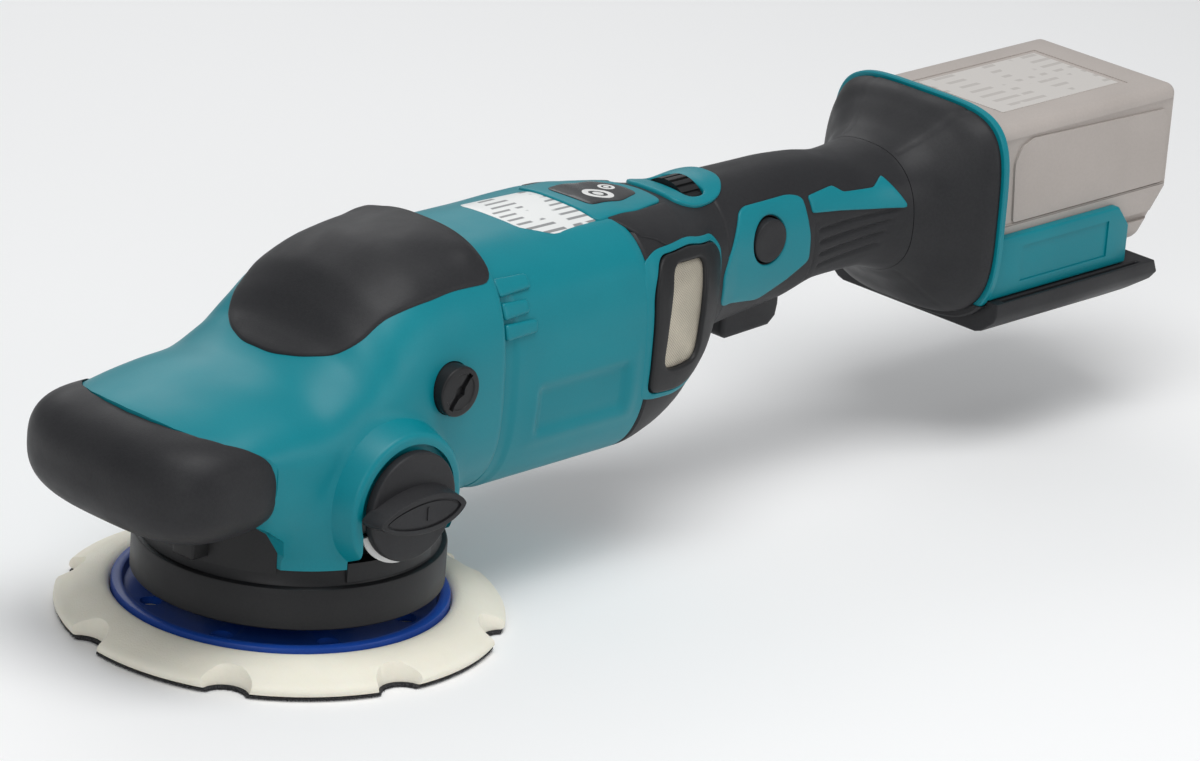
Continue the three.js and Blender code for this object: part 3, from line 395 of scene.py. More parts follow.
# ------------------------------------------------------------------ modelling by hand
def to_row(point: Sequence[float]) -> Vector:
    """A point in millimetres about the spindle, as metres in the CAD model's frame."""
    x, y, z = point
    return Vector((x * MM + SPINDLE_X, y * MM, z * MM))


def deselect() -> None:
    """Leaves edit mode if need be, and deselects everything."""
    if bpy.context.object is not None and bpy.context.object.mode != "OBJECT":
        bpy.ops.object.mode_set(mode="OBJECT")
    bpy.ops.object.select_all(action="DESELECT")


def only(piece: Piece) -> Piece:
    """Makes a piece the one selected, active object."""
    deselect()
    piece.select_set(True)
    bpy.context.view_layer.objects.active = piece
    return piece


def settle(piece: Piece, name: str) -> Piece:
    """Names a piece and moves its place into its mesh."""
    only(piece)
    piece.name = name
    piece.data.name = name
    bpy.ops.object.transform_apply(location=True, rotation=True, scale=True)
    return piece


@contextmanager
def editing(piece: Piece) -> Iterator[None]:
    """Edit mode on one piece, with nothing selected at first."""
    only(piece)
    bpy.ops.object.mode_set(mode="EDIT")
    bpy.ops.mesh.select_all(action="DESELECT")
    yield
    bpy.ops.object.mode_set(mode="OBJECT")


def pick(piece: Piece, wanted: Callable[[Vector, Vector], bool]) -> None:
    """Selects faces in edit mode.

    Args:
        piece: the piece being edited.
        wanted: says from a face's middle, in millimetres about the spindle, and its normal
            whether it is selected.
    """
    bpy.ops.object.mode_set(mode="OBJECT")
    shift = Vector((SPINDLE_X, 0.0, 0.0))
    for face in piece.data.polygons:
        face.select = wanted((face.center - shift) / MM, face.normal)
    chosen = {edge for face in piece.data.polygons if face.select for edge in face.edge_keys}
    for edge in piece.data.edges:
        edge.select = tuple(edge.key) in chosen
    bpy.ops.object.mode_set(mode="EDIT")


def modify(piece: Piece, kind: str, **settings: object) -> Piece:
    """Adds a modifier with its settings, and applies it."""
    only(piece)
    bpy.ops.object.modifier_add(type=kind)
    modifier = piece.modifiers[-1]
    for name, value in settings.items():
        setattr(modifier, name, value)
    bpy.ops.object.modifier_apply(modifier=modifier.name)
    return piece


def soften(piece: Piece, width: float, segments: int = 3, angle: float = 35.0) -> Piece:
    """Rounds every edge sharper than an angle in degrees, by width millimetres."""
    settings = {"limit_method": "ANGLE", "angle_limit": math.radians(angle), "segments": segments}
    return modify(piece, "BEVEL", width=width * MM, **settings)


def carve(piece: Piece, tool: Piece, operation: str = "DIFFERENCE") -> Piece:
    """Cuts a piece with a tool, which is then thrown away."""
    modify(piece, "BOOLEAN", object=tool, operation=operation, solver="MANIFOLD")
    if not piece.data.polygons:
        raise RuntimeError(f"nothing is left of {piece.name} after {operation} with {tool.name}")
    bpy.data.objects.remove(tool, do_unlink=True)
    return piece


def smooth(piece: Piece, angle: float = 32.0) -> Piece:
    """Shades a piece smooth, apart from its sharp edges."""
    only(piece)
    bpy.ops.object.shade_smooth_by_angle(angle=math.radians(angle))
    return piece


def turn_out(piece: Piece) -> Piece:
    """Merges doubles and turns a closed piece's faces outwards."""
    with editing(piece):
        bpy.ops.mesh.select_all(action="SELECT")
        bpy.ops.mesh.remove_doubles(threshold=1e-6)
        bpy.ops.mesh.normals_make_consistent(inside=False)
    return piece


def joined(name: str, pieces: Sequence[Piece]) -> Piece:
    """Several pieces as one object."""
    only(pieces[0])
    for piece in pieces:
        piece.select_set(True)
    if len(pieces) > 1:
        bpy.ops.object.join()
    return settle(pieces[0], name)


def copied(piece: Piece, name: str, *, spin: float = 0.0, about: Flat = (0.0, 0.0)) -> Piece:
    """A copy with its own mesh, turned about a vertical line.

    Args:
        piece: the piece to copy.
        name: the copy's name.
        spin: the turn, in radians.
        about: where the line stands, in millimetres.

    Returns:
        The copy.
    """
    only(piece)
    bpy.ops.object.duplicate()
    made = bpy.context.object
    pivot = to_row((*about, 0.0))
    made.rotation_euler.z = spin
    made.location = pivot - Quaternion((0, 0, 1), spin) @ pivot
    return settle(made, name)


def drum(name: str, axis: Axis, at: Flat, radius: float, span: Flat, sides: int = 64) -> Piece:
    """A round bar along an axis.

    Args:
        name: the piece's name.
        axis: the axis that it runs along.
        at: its centre across that axis, as x,y or y,z or x,z.
        radius: its radius.
        span: its two ends along the axis.
        sides: how many sides stand for the circle.

    Returns:
        The piece.
    """
    middle = sum(span) / 2
    where = {Axis.X: (middle, *at), Axis.Y: (at[0], middle, at[1]), Axis.Z: (*at, middle)}[axis]
    turn = {Axis.X: (0, math.pi / 2, 0), Axis.Y: (math.pi / 2, 0, 0), Axis.Z: (0, 0, 0)}[axis]
    deselect()
    bpy.ops.mesh.primitive_cylinder_add(
        vertices=sides, radius=radius * MM, depth=(span[1] - span[0]) * MM,
        location=to_row(where), rotation=turn,
    )
    return settle(bpy.context.object, name)


def block(name: str, low: Point, high: Point) -> Piece:
    """A box between two corners."""
    a, b = to_row(low), to_row(high)
    deselect()
    bpy.ops.mesh.primitive_cube_add(size=1.0, location=(a + b) / 2, scale=b - a)
    return settle(bpy.context.object, name)


def slab(name: str, axis: Axis, outline: Sequence[Flat], span: Flat) -> Piece:
    """A flat outline, filled and extruded along an axis.

    Args:
        name: the piece's name.
        axis: the axis it is extruded along.
        outline: its corners, as y,z or x,z or x,y.
        span: where it starts and ends along the axis.

    Returns:
        The piece.
    """
    place = list(Axis).index(axis)
    deselect()
    bpy.ops.mesh.primitive_circle_add(vertices=len(outline), radius=MM, fill_type="NGON")
    made = settle(bpy.context.object, name)
    for corner, vertex in zip(outline, made.data.vertices):
        spot = list(corner)
        spot.insert(place, span[0])
        vertex.co = to_row(spot)
    way = Vector((0, 0, 0))
    way[place] = 1.0
    with editing(made):
        bpy.ops.mesh.select_all(action="SELECT")
        move = {"value": way * (span[1] - span[0]) * MM}
        bpy.ops.mesh.extrude_region_move(TRANSFORM_OT_translate=move)
        bpy.ops.mesh.select_all(action="SELECT")
        bpy.ops.mesh.normals_make_consistent(inside=False)
    return made


def turned(name: str, at: Flat, profile: Sequence[Flat], steps: int = 96) -> Piece:
    """A closed profile of radius and height, spun round a vertical line."""
    deselect()
    bpy.ops.mesh.primitive_circle_add(vertices=len(profile), radius=MM, fill_type="NOTHING")
    made = settle(bpy.context.object, name)
    for (radius, height), vertex in zip(profile, made.data.vertices):
        vertex.co = to_row((at[0] + radius, at[1], height))
    with editing(made):
        bpy.ops.mesh.select_all(action="SELECT")
        centre = to_row((*at, 0.0))
        bpy.ops.mesh.spin(steps=steps, angle=2 * math.pi, center=centre, axis=(0, 0, 1))
        bpy.ops.mesh.select_all(action="SELECT")
        bpy.ops.mesh.remove_doubles(threshold=1e-6)
        bpy.ops.mesh.normals_make_consistent(inside=False)
    return made


def finished(piece: Piece, finish: Finish, body: str, *nodes: str, slot: str = "") -> Piece:
    """Gives a piece its material and body.

    Args:
        piece: the piece.
        finish: what it is made of.
        body: the CAD body that it rides on.
        nodes: the CAD nodes that it stands for.
        slot: not used; it would be the record's material slot, where it isn't the finish's own name.

    Returns:
        The piece.
    """
    piece.data.materials.clear()
    piece.data.materials.append(finish.material())
    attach(piece, body)
    if nodes:
        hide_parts(*nodes)
    LOG.info("%s: %d faces on %s", piece.name, len(piece.data.polygons), body)
    return piece


# ------------------------------------------------------------------ skins
# A skin that follows a table of sections, and an inlay that lies on one, can't be drawn with
# operators alone, so their vertices are placed in code and modifiers finish them.
def mesh_piece(name: str, points: np.ndarray, faces: Sequence[Sequence[int]]) -> Piece:
    """A piece from points in millimetres about the spindle, and faces."""
    mesh = bpy.data.meshes.new(name)
    moved = np.asarray(points, float) * MM + np.array([SPINDLE_X, 0.0, 0.0])
    mesh.from_pydata(moved.tolist(), [], [list(map(int, face)) for face in faces])
    made = bpy.data.objects.new(name, mesh)
    bpy.context.collection.objects.link(made)
    return turn_out(made)


def stack(name: str, rings: np.ndarray) -> Piece:
    """A closed piece through rings of equally many points, with a face on each end."""
    count, sides = rings.shape[:2]
    faces = [list(range(sides)), list(range((count - 1) * sides, count * sides))]
    for row in range(count - 1):
        for i in range(sides):
            a, b = row * sides + i, row * sides + (i + 1) % sides
            faces.append([a, b, b + sides, a + sides])
    return mesh_piece(name, rings.reshape(-1, 3), faces)


def inside(points: np.ndarray, outline: np.ndarray) -> np.ndarray:
    """Which flat points lie inside a closed outline."""
    hits = np.zeros(len(points), bool)
    x, y = points[:, 0], points[:, 1]
    for (ax, ay), (bx, by) in zip(outline, np.roll(outline, -1, axis=0)):
        crosses = (ay > y) != (by > y)
        with np.errstate(divide="ignore", invalid="ignore"):
            reach = (bx - ax) * (y - ay) / (by - ay) + ax
        hits ^= crosses & (x < reach)
    return hits


def distance(points: np.ndarray, outline: np.ndarray) -> np.ndarray:
    """How far flat points are from a closed outline's line."""
    best = np.full(len(points), 1e9)
    for a, b in zip(outline, np.roll(outline, -1, axis=0)):
        along = b - a
        share = np.clip(((points - a) @ along) / max(along @ along, 1e-12), 0, 1)
        best = np.minimum(best, np.hypot(*(points - a - share[:, None] * along).T))
    return best


def rounded(outline: np.ndarray, radius: float, pitch: float) -> np.ndarray:
    """An outline with its corners rounded, and points at an even pitch."""
    line = []
    before, after = np.roll(outline, 1, axis=0), np.roll(outline, -1, axis=0)
    for a, corner, b in zip(before, outline, after):
        to_a, to_b = a - corner, b - corner
        reach = min(radius, 0.45 * np.hypot(*to_a), 0.45 * np.hypot(*to_b))
        start = corner + to_a / np.hypot(*to_a) * reach
        end = corner + to_b / np.hypot(*to_b) * reach
        for t in np.linspace(0, 1, 7):
            line.append((1 - t) ** 2 * start + 2 * t * (1 - t) * corner + t**2 * end)
    line = np.array(line)
    steps = np.hypot(*(np.roll(line, -1, axis=0) - line).T)
    total = steps.sum()
    count = max(12, int(round(total / pitch)))
    closed = np.vstack([line, line[:1]])
    at = np.concatenate([[0], np.cumsum(steps)])
    wanted = np.arange(count) * total / count
    return np.stack([np.interp(wanted, at, closed[:, k]) for k in (0, 1)], axis=1)


def shrunk(outline: np.ndarray, by: float) -> np.ndarray:
    """An outline moved inwards by a small distance, along the bisectors of its corners."""
    ahead = np.roll(outline, -1, axis=0) - np.roll(outline, 1, axis=0)
    normal = np.stack([-ahead[:, 1], ahead[:, 0]], axis=1)
    normal /= np.hypot(*normal.T)[:, None]
    x, y = outline.T
    area = 0.5 * np.sum(x * np.roll(y, -1) - np.roll(x, -1) * y)
    return outline + normal * by * (1 if area > 0 else -1)


def grown(outline: Sequence[Flat], by: float) -> list[Flat]:
    """An outline moved away from its own middle by a small distance."""
    points = np.array(outline, float)
    away = points - points.mean(0)
    return [tuple(p) for p in points + away / np.hypot(*away.T)[:, None] * by]


def oval(at: Flat, half: Flat, count: int) -> list[Flat]:
    """An oval outline of that many corners, with its half width and half height."""
    turns = np.linspace(0, 2 * math.pi, count + 1)[:-1]
    return [(at[0] + half[0] * math.cos(a), at[1] + half[1] * math.sin(a)) for a in turns]


def blend_over(low: float, high: float, value: np.ndarray) -> np.ndarray:
    """0 up to low and 1 from high, with a smooth change between; high may be the smaller."""
    t = np.clip((value - low) / (high - low), 0, 1)
    return t * t * (3 - 2 * t)


@dataclass(frozen=True)
class Skin:
    """The outer surface through a table of stations.

    Each station is x, half width, top, bottom, the exponents above and below, and mid height.
    """

    stations: tuple[tuple[float, ...], ...]
    spread: float = 42.0

    def section(self, x: np.ndarray) -> np.ndarray:
        """The station's sizes at each x, with a smooth rise that never overshoots."""
        table = np.array(self.stations)
        xs, sizes = table[:, 0], table[:, 1:]
        rise = np.diff(sizes, axis=0) / np.diff(xs)[:, None]
        slope = np.vstack([rise[:1], np.zeros((len(xs) - 2, sizes.shape[1])), rise[-1:]])
        before, after = rise[:-1], rise[1:]
        agree = before * after > 0
        safe = np.where(agree, before + after, 1.0)
        slope[1:-1] = np.where(agree, 2 * before * after / safe, 0.0)
        i = np.clip(np.searchsorted(xs, x, side="right") - 1, 0, len(xs) - 2)
        width = (xs[i + 1] - xs[i])[:, None]
        t = np.clip((x - xs[i])[:, None] / width, 0, 1)
        bend = (2 * t**3 - 3 * t**2 + 1) * sizes[i] + (3 * t**2 - 2 * t**3) * sizes[i + 1]
        tilt = (t**3 - 2 * t**2 + t) * slope[i] + (t**3 - t**2) * slope[i + 1]
        return bend + width * tilt

    def bare(self, x: np.ndarray, turn: np.ndarray) -> np.ndarray:
        """Points on the skin at x and a turn about the axis, from the right side over the top."""
        half, top, low, above, below, mid = self.section(x).T
        across, up = np.cos(turn), np.sin(turn)
        power = np.where(up >= 0, above, below)
        tall = np.where(up >= 0, top - mid, mid - low)
        reach = (np.abs(across / half) ** power + np.abs(up / tall) ** power) ** (-1 / power)
        return np.stack([x, reach * across, mid + reach * up], axis=1)

    def surface(self, x: np.ndarray, turn: np.ndarray, lift: Union[float, np.ndarray] = 0.0) -> np.ndarray:
        """Points lifted off the skin along its normal."""
        x, turn = np.asarray(x, float), np.asarray(turn, float)
        ahead = self.bare(x + 0.4, turn) - self.bare(x - 0.4, turn)
        round_ = self.bare(x, turn + 0.01) - self.bare(x, turn - 0.01)
        normal = np.cross(round_, ahead)
        normal /= np.maximum(np.linalg.norm(normal, axis=1), 1e-9)[:, None]
        points = self.bare(x, turn)
        middle = self.section(x)[:, 5]
        out = np.stack([np.zeros_like(x), points[:, 1], points[:, 2] - middle], axis=1)
        normal *= np.sign((normal * out).sum(1))[:, None]
        return points + normal * np.broadcast_to(lift, x.shape)[:, None]

    def on_side(self, outline: Sequence[Flat], side: Side) -> np.ndarray:
        """An outline drawn on a side as x,z, as x and turn."""
        x, z = np.array(outline, float).T
        half, top, low, above, below, mid = self.section(x).T
        power = np.where(z >= mid, above, below)
        share = np.where(z >= mid, (z - mid) / (top - mid), (mid - z) / (mid - low))
        y = half * (1 - np.clip(share, 0, 0.995) ** power) ** (1 / power)
        turn = np.arctan2(z - mid, y)
        return np.stack([x, turn if side is Side.RIGHT else math.pi - turn], axis=1)

    def on_top(self, outline: Sequence[Flat]) -> np.ndarray:
        """An outline drawn on the top as x,y, as x and turn."""
        x, y = np.array(outline, float).T
        half, top, low, above, below, mid = self.section(x).T
        z = (top - mid) * (1 - np.clip(np.abs(y) / half, 0, 0.995) ** above) ** (1 / above)
        return np.stack([x, np.arctan2(z, y)], axis=1)

    def loft(self, name: str, xs: np.ndarray, lift: Optional[Callable] = None, sides: int = 144) -> Piece:
        """A closed piece under the skin.

        Args:
            name: the piece's name.
            xs: where its rings stand.
            lift: gives from x and turn how far each point is off the skin.
            sides: points in each ring.

        Returns:
            The piece.
        """
        turn = np.arange(sides) * 2 * math.pi / sides
        grid_x, grid_turn = (values.ravel() for values in np.meshgrid(xs, turn, indexing="ij"))
        off = lift(grid_x, grid_turn) if lift else 0.0
        points = self.surface(grid_x, grid_turn, off)
        points[:, 0] = grid_x
        return stack(name, points.reshape(len(xs), sides, 3))


@dataclass(frozen=True)
class HeadSkin(Skin):
    """The head's skin, which swells into the lobes round the drive and the boss round the knob."""

    lobe: float = LOBE_RADIUS
    lobe_taper: float = 9.0
    taper_span: Flat = (56.0, 88.0)
    lobe_fade: Flat = (92.0, 76.0)
    lobe_fillet: float = 9.0
    boss: float = 55.5
    boss_fall: float = 28.0
    boss_radius: float = 26.0
    boss_fillet: float = 6.0

    def bare(self, x: np.ndarray, turn: np.ndarray) -> np.ndarray:
        """Points on the skin, pushed sideways where a lobe or boss stands further out."""
        points = super().bare(x, turn)
        z = points[:, 2]
        radius = self.lobe - self.lobe_taper * blend_over(*self.taper_span, z)
        lobe = np.sqrt(np.maximum(radius**2 - x**2, 0.0))
        away = np.hypot(x, z - KNOB_Z)
        reach = self.boss_radius
        boss = self.boss - self.boss_fall * blend_over(reach - 6.0, reach + 20.0, away)
        width = np.abs(points[:, 1])
        near_lobe = blend_over(*self.lobe_fade, z)
        near_boss = blend_over(reach + 16.0, reach + 4.0, away)
        swells = ((lobe, self.lobe_fillet, near_lobe), (boss, self.boss_fillet, near_boss))
        for other, soft, near in swells:
            share = np.clip(0.5 + 0.5 * (width - other) / soft, 0, 1)
            swollen = other + (width - other) * share + soft * share * (1 - share)
            width = width + (swollen - width) * near
        points[:, 1] = np.where(points[:, 1] < 0, -width, width)
        return points


@dataclass(frozen=True)
class Inlay:
    """A thin piece with a rounded lip that lies on a skin, inside an outline of x and turn."""

    skin: Skin
    outline: np.ndarray
    proud: float = 0.6
    sink: float = 1.0
    lip: float = 0.6
    corner: float = 3.0
    pitch: float = 2.2
    holes: tuple = ()
    shape: Optional[Callable] = None

    def _flat(self, outline: np.ndarray) -> np.ndarray:
        """An outline in millimetres along and round the skin, with rounded corners."""
        return rounded(outline * np.array([1.0, self.skin.spread]), self.corner, self.pitch)

    def _rings(self, line: np.ndarray, way: int) -> list[tuple[np.ndarray, float]]:
        """The lip's rings inside a line, or outside a hole, each with its height."""
        rings = []
        for angle in np.radians((0, 30, 60, 90)):
            inward = self.lip * (1 - math.cos(angle))
            height = self.proud - self.lip * (1 - math.sin(angle))
            rings.append((shrunk(line, way * inward), height))
        return rings

    def build(self, name: str) -> Piece:
        """Triangulates the inlay, lifts it off the skin and closes its back."""
        outer = self._flat(self.outline)
        inner = [self._flat(hole) for hole in self.holes]
        rings = self._rings(outer, 1)
        for line in inner:
            rings += self._rings(line, -1)
        low, high = outer.min(0), outer.max(0)
        rows = [np.arange(a, b, self.pitch) for a, b in zip(low, high)]
        grid = np.stack(np.meshgrid(*rows), -1).reshape(-1, 2)
        margin = self.lip + 0.5 * self.pitch
        clear = inside(grid, outer) & (distance(grid, outer) > margin)
        for line in inner:
            clear &= ~inside(grid, line) & (distance(grid, line) > margin)
        grid = grid[clear]
        points = np.vstack([line for line, _ in rings] + [grid])
        heights = np.concatenate(
            [np.full(len(line), h) for line, h in rings] + [np.full(len(grid), self.proud)]
        )
        edges, start = [], 0
        for line, _ in rings:
            edges += [(start + i, start + (i + 1) % len(line)) for i in range(len(line))]
            start += len(line)
        flat = delaunay_2d_cdt([Vector(p) for p in points], edges, [], 0, 1e-5)
        spots = np.array([tuple(v) for v in flat[0]])
        source = [origins[0] if origins else -1 for origins in flat[3]]
        height = np.array([heights[i] if i >= 0 else self.proud for i in source])
        faces = np.array(flat[2])
        middles = spots[faces].mean(1)
        keep = inside(middles, outer)
        for line in inner:
            keep &= ~inside(middles, line)
        return self._solid(name, spots, height, faces[keep])

    def _solid(self, name: str, spots: np.ndarray, height: np.ndarray, faces: np.ndarray) -> Piece:
        """The lifted sheet with its back and its edge."""
        x, turn = spots[:, 0], spots[:, 1] / self.skin.spread
        extra = self.shape(x, turn) if self.shape else 0.0
        top = self.skin.surface(x, turn, height + extra)
        back = self.skin.surface(x, turn, -self.sink)
        count = len(spots)
        all_faces = [list(face) for face in faces]
        all_faces += [[i + count for i in face[::-1]] for face in faces]
        uses: dict[tuple[int, int], tuple[int, int]] = {}
        for a, b, c in faces:
            for i, j in ((a, b), (b, c), (c, a)):
                key = (min(i, j), max(i, j))
                uses[key] = (0, 0) if key in uses else (i, j)
        for i, j in uses.values():
            if i != j:
                all_faces.append([j, i, i + count, j + count])
        used = sorted({i for face in all_faces for i in face})
        renumber = {old: new for new, old in enumerate(used)}
        points = np.vstack([top, back])[used]
        made = mesh_piece(name, points, [[renumber[i] for i in face] for face in all_faces])
        return smooth(made, 50.0)


HEAD = HeadSkin((
    (-88, 34, 94.2, 68, 2.3, 2.6, 80),
    (-80, 42, 97.2, 65, 2.3, 2.6, 80),
    (-62, 46.5, 100, 60, 2.3, 2.6, 80),
    (-45, 48.3, 103, 40, 2.3, 3.0, 78),
    (-30, 49.5, 104.5, 34, 2.3, 3.2, 76),
    (-12, 50, 113, 34, 2.4, 3.2, 76),
    (-2, 50, 123.5, 34, 2.4, 3.2, 76),
    (8, 50, 132, 34, 2.5, 3.2, 76),
    (26, 49, 139, 35, 2.6, 3.0, 76),
    (42, 47.5, 140.5, 39, 2.7, 2.7, 80),
    (59.5, 46, 140, 40, 2.8, 2.8, 84),
))
BODY = Skin((
    (59.8, 44.5, 134.5, 37.4, 3.0, 2.8, 84.4),
    (138, 44.5, 133.6, 37.6, 3.0, 2.8, 84.4),
    (150, 44, 132, 41, 3.0, 2.8, 84.4),
    (160, 42.8, 131, 46.5, 2.8, 2.8, 85.5),
    (170, 39.8, 129.7, 55, 2.7, 2.7, 87.5),
    (178, 35.6, 128.3, 61, 2.6, 2.6, 91),
    (190, 28, 127.4, 66.5, 2.4, 2.4, 97),
    (204, 24, 129.3, 69.5, 2.4, 2.4, 99),
    (240, 22, 129.2, 73, 2.4, 2.4, 99),
    (260, 22, 127.8, 78, 2.4, 2.4, 99),
    (282, 23.6, 124.6, 78.5, 2.4, 2.4, 98.6),
    (298, 27, 125, 75, 2.4, 2.4, 98),
    (309, 31, 129, 68, 2.6, 2.5, 97),
    (319, 39, 136, 59, 3.0, 2.8, 95),
    (325, 43.6, 140, 55, 3.6, 3.0, 95),
    (331, 45.6, 141.3, 53, 4.5, 3.2, 95),
))


# ------------------------------------------------------------------ pad
@dataclass
class PolishingPad:
    """The foam pad, its hook face and fringe, and the hub it is moulded on."""

    radius: float = 82.5
    hub_radius: float = 62.0
    bore: float = 12.0
    notches: int = 8
    notch_phase: float = 34.0
    notch_radius: float = 8.5
    vents: int = 8
    vent_ring: float = 50.0
    vent_radius: float = 4.0
    fringe: int = 1100
    seed: int = 5

    def notch_tool(self, name: str, grow: float) -> Piece:
        """The cutters of all the notches, as one piece whose walls flare upwards."""
        tools = []
        for i in range(self.notches):
            angle = math.radians(self.notch_phase + i * 360 / self.notches)
            reach = self.radius + 1.8
            at = (PAD_X + reach * math.cos(angle), reach * math.sin(angle))
            tool = drum(f"{name}_{i}", Axis.Z, at, self.notch_radius + grow, (-1.0, 20.0), 28)
            with editing(tool):
                pick(tool, lambda middle, normal: normal.z > 0.9)
                bpy.ops.transform.resize(value=(1.55, 1.55, 1.0))
            tools.append(tool)
        return joined(name, tools)

    def foam(self) -> Piece:
        """The cream ring: a flat top that rises to the hub, cut by the notches."""
        hub, rim = self.hub_radius, self.radius
        profile = [
            (self.bore, 1.5), (rim - 1.4, 1.5), (rim - 0.5, 1.8), (rim, 2.6), (rim - 0.1, 3.9),
            (rim - 0.9, 5.0), (rim - 2.6, 5.9), (rim - 6.0, 7.4), (hub + 12.5, 8.7), (hub + 7.5, 10.2),
            (hub + 4.4, 10.9), (hub + 2.5, 10.7), (hub + 1.0, 9.8), (hub + 0.4, 8.4), (hub + 0.3, 5.5),
            (self.bore, 5.5),
        ]
        made = turned("foam_ring", (PAD_X, 0.0), profile, 160)
        carve(made, self.notch_tool("notch_tool", 0.0))
        soften(made, 0.8, 3, 48.0)
        return smooth(made, 40.0)

    def hook_cloth(self) -> Piece:
        """The hook face: a disc with a soft edge and the same notches."""
        rim = self.radius
        profile = [
            (self.bore, 0.1), (rim - 1.6, 0.1), (rim - 0.9, 0.5), (rim - 1.0, 1.1), (rim - 1.6, 1.35),
            (self.bore, 1.35),
        ]
        made = turned("hook_cloth", (PAD_X, 0.0), profile, 128)
        carve(made, self.notch_tool("cloth_tool", -0.8))
        return smooth(made, 40.0)

    def hook_fringe(self) -> Piece:
        """Hundreds of tiny bent hooks that stand out under the foam's edge."""
        random = np.random.default_rng(self.seed)
        points, faces = [], []
        for i in range(self.fringe):
            angle = 2 * math.pi * (i + random.uniform(-0.4, 0.4)) / self.fringe
            edge = self.radius - 1.3
            for k in range(self.notches):
                centre = math.radians(self.notch_phase + k * 360 / self.notches)
                away = math.remainder(angle - centre, 2 * math.pi) * self.radius
                if abs(away) < self.notch_radius - 0.6:
                    edge = self.radius + 2.6 - math.sqrt((self.notch_radius + 0.2) ** 2 - away**2)
            out = np.array([math.cos(angle), math.sin(angle), 0.0])
            side = np.array([-out[1], out[0], 0.0])
            root = np.array([PAD_X, 0, 0.95 + random.uniform(-0.3, 0.2)]) + out * (edge - 0.7)
            tip = root + out * random.uniform(0.8, 1.5) + side * random.uniform(-0.5, 0.5)
            tip[2] = max(0.06, root[2] - random.uniform(0.3, 1.1))
            limit = np.hypot(tip[0] - PAD_X, tip[1])
            furthest = self.radius - 0.1
            if limit > furthest:
                tip[:2] = np.array([PAD_X, 0]) + (tip[:2] - [PAD_X, 0]) * furthest / limit
            start = len(points)
            for centre, thick in ((root, 0.17), (tip, 0.07)):
                ridge = centre + np.array([0, 0, thick * 1.3])
                points += [centre + side * thick, centre - side * thick, ridge]
            for k in range(3):
                ahead = (k + 1) % 3
                faces.append([start + k, start + ahead, start + 3 + ahead, start + 3 + k])
            faces += [[start + 2, start + 1, start], [start + 3, start + 4, start + 5]]
        return mesh_piece("hook_fringe", np.array(points), faces)

    def hub(self) -> Piece:
        """The blue hub: a dished disc with a raised rim and vent holes."""
        rim = self.hub_radius
        profile = [
            (4.4, 9.5), (9.5, 9.5), (9.5, 5.8), (rim, 5.8), (rim, 10.6), (rim - 0.4, 11.5),
            (rim - 1.2, 11.8), (rim - 3.2, 11.8), (rim - 4.0, 11.4), (rim - 5.0, 8.9), (rim - 5.8, 8.6),
            (28, 8.6), (23, 14), (4.4, 14),
        ]
        made = turned("hub_dish", (PAD_X, 0.0), profile, 144)
        tools = []
        for i in range(self.vents):
            angle = (i + 0.5) / self.vents * 2 * math.pi
            at = (PAD_X + self.vent_ring * math.cos(angle), self.vent_ring * math.sin(angle))
            tools.append(drum(f"vent_tool_{i}", Axis.Z, at, self.vent_radius, (4.0, 10.0), 24))
        carve(made, joined("vent_tools", tools))
        return smooth(made, 35.0)

    def build(self) -> None:
        """Makes the pad's pieces and puts them on the pad's body."""
        foam = finished(self.foam(), FOAM, "pad", "foam_pad")
        finished(self.hook_cloth(), HOOKS, "pad", "hook_face")
        finished(self.hook_fringe(), HOOKS, "pad")
        finished(self.hub(), BLUE, "pad", "pad_hub")


